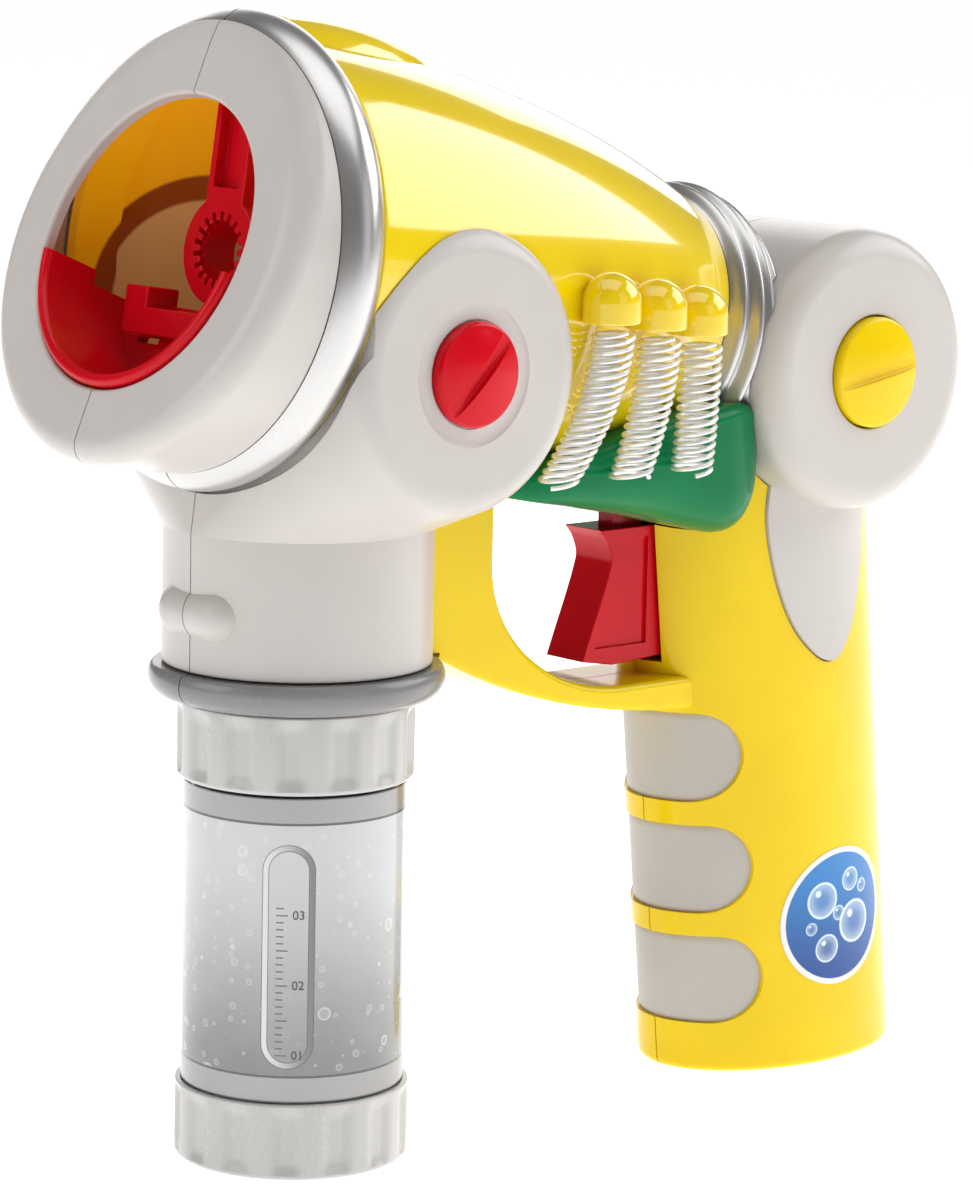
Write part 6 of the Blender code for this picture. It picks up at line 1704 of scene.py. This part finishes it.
def make_trigger():
    """A curved blade with a sunk panel on each side, its stop block and its arm."""
    front = [tuple(place) for place in smooth_path(TRIGGER_LINE, 5)]
    outline = front + [(TRIGGER_FRONT_Y, TRIGGER_FOOT_Z - 2.0 * TRIGGER_SLOT),
                       (TRIGGER_REAR_Y, TRIGGER_FOOT_Z), (TRIGGER_REAR_Y, TRIGGER_TOP_Z)]
    trigger = slab("trigger_blade", outline, -TRIGGER_HALF_WIDTH, TRIGGER_HALF_WIDTH)
    soften(trigger, TRIGGER_EDGE, 4)
    rear = grip_front(TRIGGER_FOOT_Z) - TRIGGER_MARGIN
    low = TRIGGER_FOOT_Z + TRIGGER_MARGIN
    high = STOP_TOP_Z
    panel = [(y + TRIGGER_MARGIN, z) for y, z in front if low < z < high]
    panel = [(panel[0][0], high)] + panel + [(panel[-1][0], low), (rear, low), (rear, high)]
    for side in SIDE_NAMES:
        ends = sorted((side * (TRIGGER_HALF_WIDTH - TRIGGER_PANEL), side * 2.0 * TRIGGER_HALF_WIDTH))
        carve(trigger, slab("trigger_panel", panel, ends[0], ends[1]))
    weld(trigger, block("trigger_stop", (-STOP_HALF_WIDTH, STOP_FRONT_Y, TRIGGER_FOOT_Z + TRIGGER_SLOT),
                        (STOP_HALF_WIDTH, TRIGGER_REAR_Y, STOP_TOP_Z)),
         slab("trigger_arm", TRIGGER_ARM, -ARM_HALF_WIDTH, ARM_HALF_WIDTH))
    dress(trigger, RED_TRIM, "trigger", "trigger")


def make_trigger_spring():
    """A coil between the trigger and the grip's rib."""
    coil = RETURN_SPRING_RADIUS - 0.5 * RETURN_SPRING_WIRE
    start = TRIGGER_REAR_Y + GAP
    end = RIB_Y - GAP
    count = RETURN_SPRING_TURNS * WIRE_POINTS
    path = []
    for i in range(count + 1):
        turn = TAU * RETURN_SPRING_TURNS * i / count
        path.append(Vector((coil * math.cos(turn), start + (end - start) * i / count,
                            RETURN_SPRING_Z + coil * math.sin(turn))))
    spring = wire("trigger_spring_wire", path, 0.5 * RETURN_SPRING_WIRE)
    dress(spring, SPRING_STEEL, "gun", "trigger_spring")
    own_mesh(spring)


def hose_route():
    """The hose: from the dip tube, along the barrel, round the pump, up to the bubble ring."""
    knots = [Vector((0.0, 0.0, HOSE_FOOT_Z + step * HOSE_STRAIGHT)) for step in (0, 1, 2)]
    knots += [Vector((*HOSE_RISE, HOSE_FOOT_Z + 4.0 * HOSE_STRAIGHT))]
    knots += [station(*place) for place in HOSE_TO_PUMP]
    for degrees in HOSE_PUMP_TURN:
        turn = math.radians(degrees)
        knots.append(station(HOSE_PUMP_STATION, HOSE_CIRCLE * math.sin(turn), HOSE_CIRCLE * math.cos(turn)))
    knots += [station(*place) for place in HOSE_FROM_PUMP]
    knots += [station(WAND_HOSE_END + step * HOSE_STRAIGHT, WAND_HOSE_UP) for step in (2, 1, 0)]
    return smooth_path(knots, 8)


def hose_room():
    """What the hose takes up, with a gap round it."""
    return wire("hose_room", hose_route(), HOSE_RADIUS + TRIGGER_SLOT)


# Inside the mouth

def make_wand():
    """The bubble ring with slits round its bore, on an arm with a trough."""
    node = "bubble_wand"
    edge = SHELL_EDGE
    rear = WAND_STATION + WAND_THICK
    profile = [(WAND_BORE, WAND_STATION + edge)]
    profile += arc((WAND_BORE + edge, WAND_STATION + edge), edge, 180.0, 270.0, 3)
    profile += arc((WAND_RADIUS - edge, WAND_STATION + edge), edge, -90.0, 0.0, 3)
    profile += [(WAND_RADIUS, rear), (WAND_BORE, rear)]
    wand = spun(node + "_ring", profile, BARREL, ROUND, True)
    half = 0.5 * WAND_SLIT_WIDTH
    for i in range(WAND_SLITS):
        turn = BARREL @ Matrix.Rotation(TAU * (i + 0.5) / WAND_SLITS, 4, "Z")
        carve(wand, block("slit", (WAND_BORE - edge, -half, WAND_STATION - edge),
                          (WAND_CROWN, half, WAND_STATION + WAND_SLIT_DEPTH), turn))
    top = math.sqrt((SPIGOT_RADIUS - WALL - GAP) ** 2 - WAND_ARM_HALF_WIDTH ** 2)
    foot = WAND_CROWN + edge
    arm = block("wand_arm", (-WAND_ARM_HALF_WIDTH, -top, WAND_STATION),
                (WAND_ARM_HALF_WIDTH, -foot, WAND_STATION + WAND_ARM_DEPTH), BARREL, edge)
    trough = WAND_ARM_HALF_WIDTH - 0.8 * WALL
    carve(arm, block("wand_trough", (-trough, -top + WALL, WAND_STATION - WALL),
                     (trough, -WAND_RADIUS - 0.5 * WALL, WAND_STATION + WALL), BARREL, edge))
    carve(arm, rod("wand_bore_room", WAND_CROWN + edge, 0.0, WAND_STATION + 2.0 * WAND_ARM_DEPTH, BARREL))
    dress(weld(wand, arm), RED_TRIM, "gun", node)


def make_tray():
    """The lower part of a cup in the mouth, cut away for the ring and the lever."""
    outer = MOUTH_RADIUS - GAP
    inner = outer - TRAY_WALL
    floor = TRAY_DEPTH - TRAY_WALL
    rim = 0.5 * TRAY_WALL
    profile = [(0.0, floor), (inner, floor), (inner, rim - TRAY_PROUD)]
    profile += arc((inner + rim, rim - TRAY_PROUD), rim, 180.0, 360.0, 12)
    profile += [(outer, TRAY_DEPTH), (0.0, TRAY_DEPTH)]
    tray = spun("tray_cup", profile, FACE, FINE)
    wide = WIPER_HALF_WIDTH + TRIGGER_SLOT
    over = block("tray_over", (-REACH, -REACH, -REACH), (REACH, -TRAY_TOP, REACH), FACE)
    back = block("tray_back", (-REACH, -REACH, 0.5 * TRAY_DEPTH), (REACH, -TRAY_BACK, REACH), FACE)
    notch = block("tray_notch", (-WIPER_ASIDE - wide, -REACH, 0.5 * TRAY_DEPTH),
                  (-WIPER_ASIDE + wide, -TRAY_NOTCH, REACH), FACE)
    drain = rod("tray_drain", TRAY_WALL, 0.8 * floor, 2.0 * TRAY_DEPTH,
                FACE @ Matrix.Translation((0.0, 0.8 * inner, 0.0)), SMALL)
    dress(carve(tray, over, back, notch, drain), RED_TRIM, "gun", "drip_tray")


def strip(points, half):
    """Outline of a bar of even width along a bent line."""
    line = [Vector(p) for p in points]
    upper = []
    lower = []
    for i, place in enumerate(line):
        before = (place - line[i - 1]).normalized() if i else None
        after = (line[i + 1] - place).normalized() if i + 1 < len(line) else None
        first = before or after
        second = after or before
        middle = (first + second).normalized()
        sideways = Vector((-middle.y, middle.x)) * (half / max(middle.dot(first), 0.5))
        upper.append(tuple(place + sideways))
        lower.append(tuple(place - sideways))
    return upper + lower[::-1]


def make_wiper():
    """A bent lever from its pin at the rear to the blade in front of the bubble ring."""
    line = []
    for along, up in WIPER_LINE:
        place = station(along, up)
        line.append((place.y, place.z))
    half = 0.5 * WIPER_BAR
    wide = WIPER_HALF_WIDTH
    lever = soften(slab("wiper_bar", strip(line, half), -wide, wide), SHELL_EDGE)
    eye = Matrix.Translation((0.0, line[0][0], line[0][1])) @ across_frame(LEFT)
    along, up = WIPER_LINE[-1]
    outside = -WIPER_ASIDE - wide
    nub = 0.4 * WIPER_BAR
    weld(lever, rod("wiper_eye", WIPER_EYE_RADIUS, -wide, wide, eye, SMALL),
         block("wiper_nub", (-ARM_HALF_WIDTH, -WIPER_LINE[0][1], WIPER_NUB[0] - nub),
               (ARM_HALF_WIDTH, -WIPER_NUB[1], WIPER_NUB[0] + nub), BARREL, SHELL_EDGE),
         block("wiper_cross", (outside, -up - half, along - half), (wide, -up + half, along + half), BARREL,
               SHELL_EDGE),
         block("wiper_front_bar", (outside + SEAM, -up - half + SEAM, WIPER_BLADE[0] + GAP),
               (outside + 2.0 * wide, -up + half - GAP, along), BARREL, SHELL_EDGE),
         block("wiper_edge", (outside - GAP, -WIPER_BLADE_HIGH, WIPER_BLADE[0]),
               (WIPER_BLADE_HALF_WIDTH, -WIPER_BLADE_LOW, WIPER_BLADE[1]), BARREL, SHELL_EDGE),
         block("wiper_end", (outside - 2.0 * GAP, -WIPER_END_HIGH, WIPER_BLADE[0] + SEAM),
               (-WAND_RADIUS - GAP, -WIPER_BLADE_LOW - SEAM, WIPER_BLADE[1] + WIPER_BAR), BARREL, SHELL_EDGE))
    carve(lever, rod("wiper_bore", WIPER_BORE, -REACH, REACH, eye, SMALL))
    dress(lever, RED_TRIM, "wiper", "wiper_lever")


def make_duct():
    """A wall across the barrel with a short pipe round its bore."""
    shroud = DUCT_BORE + SHROUD_THICK
    front = DUCT_STATION
    rear = front + DUCT_THICK
    edge = SHELL_EDGE
    profile = arc((DUCT_BORE + edge, front + edge), edge, 180.0, 270.0, 4)
    profile += [(DUCT_RADIUS, front), (DUCT_RADIUS, rear), (shroud, rear), (shroud, SHROUD_END),
                (DUCT_BORE, SHROUD_END)]
    duct = spun("duct_shroud", profile, BARREL, ROUND, True)
    wide = WIPER_HALF_WIDTH + TRIGGER_SLOT
    slot = block("lever_slot", (-wide, shroud + GAP, front - TRIGGER_SLOT), (wide, REACH, BARREL_REAR),
                 BARREL)
    carve(duct, slot, hose_room())
    dress(duct, WHITE_SHELL, "gun", "air_duct")


# Pieces that keep the frame's own meshes, each with its finish
KEPT_FINISHES = (
    (("motor",), MOTOR_CAN),
    (("motor_shaft", "wiper_pin", "contact_bottom", "contact_top"), SPRING_STEEL),
    (("motor_pinion", "compound_gear", "pump_rotor", "neck_insert"), GEAR_NYLON),
    (("fan", "pump_housing", "gear_plate"), WHITE_SHELL),
    (("bottle_seal", "switch"), SEAL_RUBBER),
    (("dip_tube",), HOSE_CLEAR),
    (("battery_front", "battery_rear"), CELL_WRAP),
)


def finish_kept_pieces():
    """Give the frame's own meshes their finishes."""
    for names, finish in KEPT_FINISHES:
        for name in names:
            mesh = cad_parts[name].data
            mesh.materials.clear()
            mesh.materials.append(finish)


def build_gun():
    make_bezel()
    make_muzzle_ring()
    make_barrel()
    make_bellows()
    make_socket()
    make_collar()
    ear_seat = EAR_FACE - EAR_SEAT + SEAM
    drum_seat = DRUM_FACE - DRUM_SEAT + SEAM
    for side, word in SIDE_NAMES.items():
        make_knob("ear_knob_" + word, side, EAR_PLACE, EAR_KNOB_RADIUS, ear_seat, EAR_FACE + KNOB_RISE,
                  EAR_SLOT_TURN, RED_TRIM)
        make_knob("rear_knob_" + word, side, DRUM_PLACE, REAR_KNOB_RADIUS, drum_seat, DRUM_FACE + KNOB_RISE,
                  REAR_SLOT_TURN, YELLOW_SHELL)
        make_rear_housing(side)
        for index in range(DOME_COUNT):
            make_side_spring(index, side)
    make_pod()
    make_grip()
    for index in range(PAD_COUNT):
        make_finger_pad(index)
        make_scale_number(index)
    make_battery_door()
    make_sticker()
    make_bottle_body()
    make_bottle_label()
    make_cap_ring()
    make_base_cup()
    make_trigger()
    make_trigger_spring()
    dress(wire("hose_tube", hose_route(), HOSE_RADIUS), HOSE_CLEAR, "gun", "hose")
    make_wand()
    make_tray()
    make_wiper()
    make_duct()
    finish_kept_pieces()


# Studio and camera
CAMERA_RISE = 9.6        # degrees
CAMERA_ROLL = -1.2
CAMERA_AWAY = 0.7575
AIM = Vector((0.0, 0.0, -0.0027))
AIM_PIXEL = (290.0, 1163.0)
FRAME_PIXELS = (973.0, 1200.0)
FOCAL_PIXELS = 4500.0
LENS = 135.0             # millimetres
SENSOR = 36.0            # millimetres
FLOOR_SIZE = 40.0
FLOOR_COLOUR = (0.90, 0.90, 0.90)
FLOOR_SHADE = (0.88, 0.88, 0.88)
FLOOR_GLOW = 0.88        # the floor is a light table
WORLD_STRENGTH = 0.13
PURE_WHITE = (1.0, 1.0, 1.0, 1.0)
LIGHT_AIM = Vector((0.0, 0.04, 0.10))
SOFTBOXES = (            # name, place, width, height, watts
    ("top_softbox", (0.10, -0.10, 0.95), 0.9, 0.7, 3.2),
    ("left_softbox", (-0.35, -0.95, 0.55), 0.6, 0.6, 2.7),
    ("right_softbox", (0.95, 0.10, 0.50), 0.5, 0.7, 0.7),
    ("back_softbox", (0.42, 0.95, 0.72), 1.0, 0.7, 8.0),
    ("far_softbox", (-0.85, 0.72, 0.52), 1.2, 0.6, 4.5),
)


def add_camera():
    """A camera that puts the aim point on its pixel of the photo's frame."""
    side = math.radians(VIEW_SIDE)
    rise = math.radians(CAMERA_RISE)
    roll = math.radians(CAMERA_ROLL)
    back = Vector((math.sin(side) * math.cos(rise), -math.cos(side) * math.cos(rise), math.sin(rise)))
    level = Vector((math.cos(side), math.sin(side), 0.0))
    upright = back.cross(level)
    right = math.cos(roll) * level - math.sin(roll) * upright
    up = math.sin(roll) * level + math.cos(roll) * upright
    aside = (AIM_PIXEL[0] - 0.5 * FRAME_PIXELS[0]) / FOCAL_PIXELS * CAMERA_AWAY
    above = -(AIM_PIXEL[1] - 0.5 * FRAME_PIXELS[1]) / FOCAL_PIXELS * CAMERA_AWAY
    place = AIM - (aside * right + above * up - CAMERA_AWAY * back)
    data = bpy.data.cameras.new("photo_camera")
    data.lens = LENS
    data.sensor_width = SENSOR
    data.sensor_fit = "AUTO"
    data.clip_start = 0.01
    data.clip_end = 100.0
    camera = bpy.data.objects.new("photo_camera", data)
    camera.matrix_world = Matrix(((right.x, up.x, back.x, place.x), (right.y, up.y, back.y, place.y),
                                  (right.z, up.z, back.z, place.z), (0.0, 0.0, 0.0, 1.0)))
    bpy.context.scene.collection.objects.link(camera)
    bpy.context.scene.camera = camera


def add_softbox(name, place, width, height, watts):
    """A flat light that faces the gun."""
    data = bpy.data.lights.new(name, "AREA")
    data.shape = "RECTANGLE"
    data.size = width
    data.size_y = height
    data.energy = watts
    light = bpy.data.objects.new(name, data)
    light.location = place
    light.rotation_euler = (LIGHT_AIM - Vector(place)).to_track_quat("-Z", "Y").to_euler()
    bpy.context.scene.collection.objects.link(light)


def add_floor():
    """A wide white floor that glows a little."""
    bpy.ops.object.select_all(action="DESELECT")
    bpy.ops.mesh.primitive_plane_add(size=FLOOR_SIZE)
    floor = bpy.context.active_object
    floor.name = "studio_floor"
    paper = plastic("floor_paper", FLOOR_COLOUR, FLOOR_SHADE, 0.75, bump=0.02)
    glow = shader_of(paper).inputs
    glow["Emission Color"].default_value = PURE_WHITE
    glow["Emission Strength"].default_value = FLOOR_GLOW
    floor.data.materials.append(paper)


def light_studio():
    world = bpy.data.worlds.new("studio_air")
    world.use_nodes = True
    air = world.node_tree.nodes["Background"]
    air.inputs["Color"].default_value = PURE_WHITE
    air.inputs["Strength"].default_value = WORLD_STRENGTH
    bpy.context.scene.world = world
    for softbox in SOFTBOXES:
        add_softbox(*softbox)
    bpy.context.scene.view_settings.view_transform = "Standard"


build_gun()
add_floor()
light_studio()
add_camera()
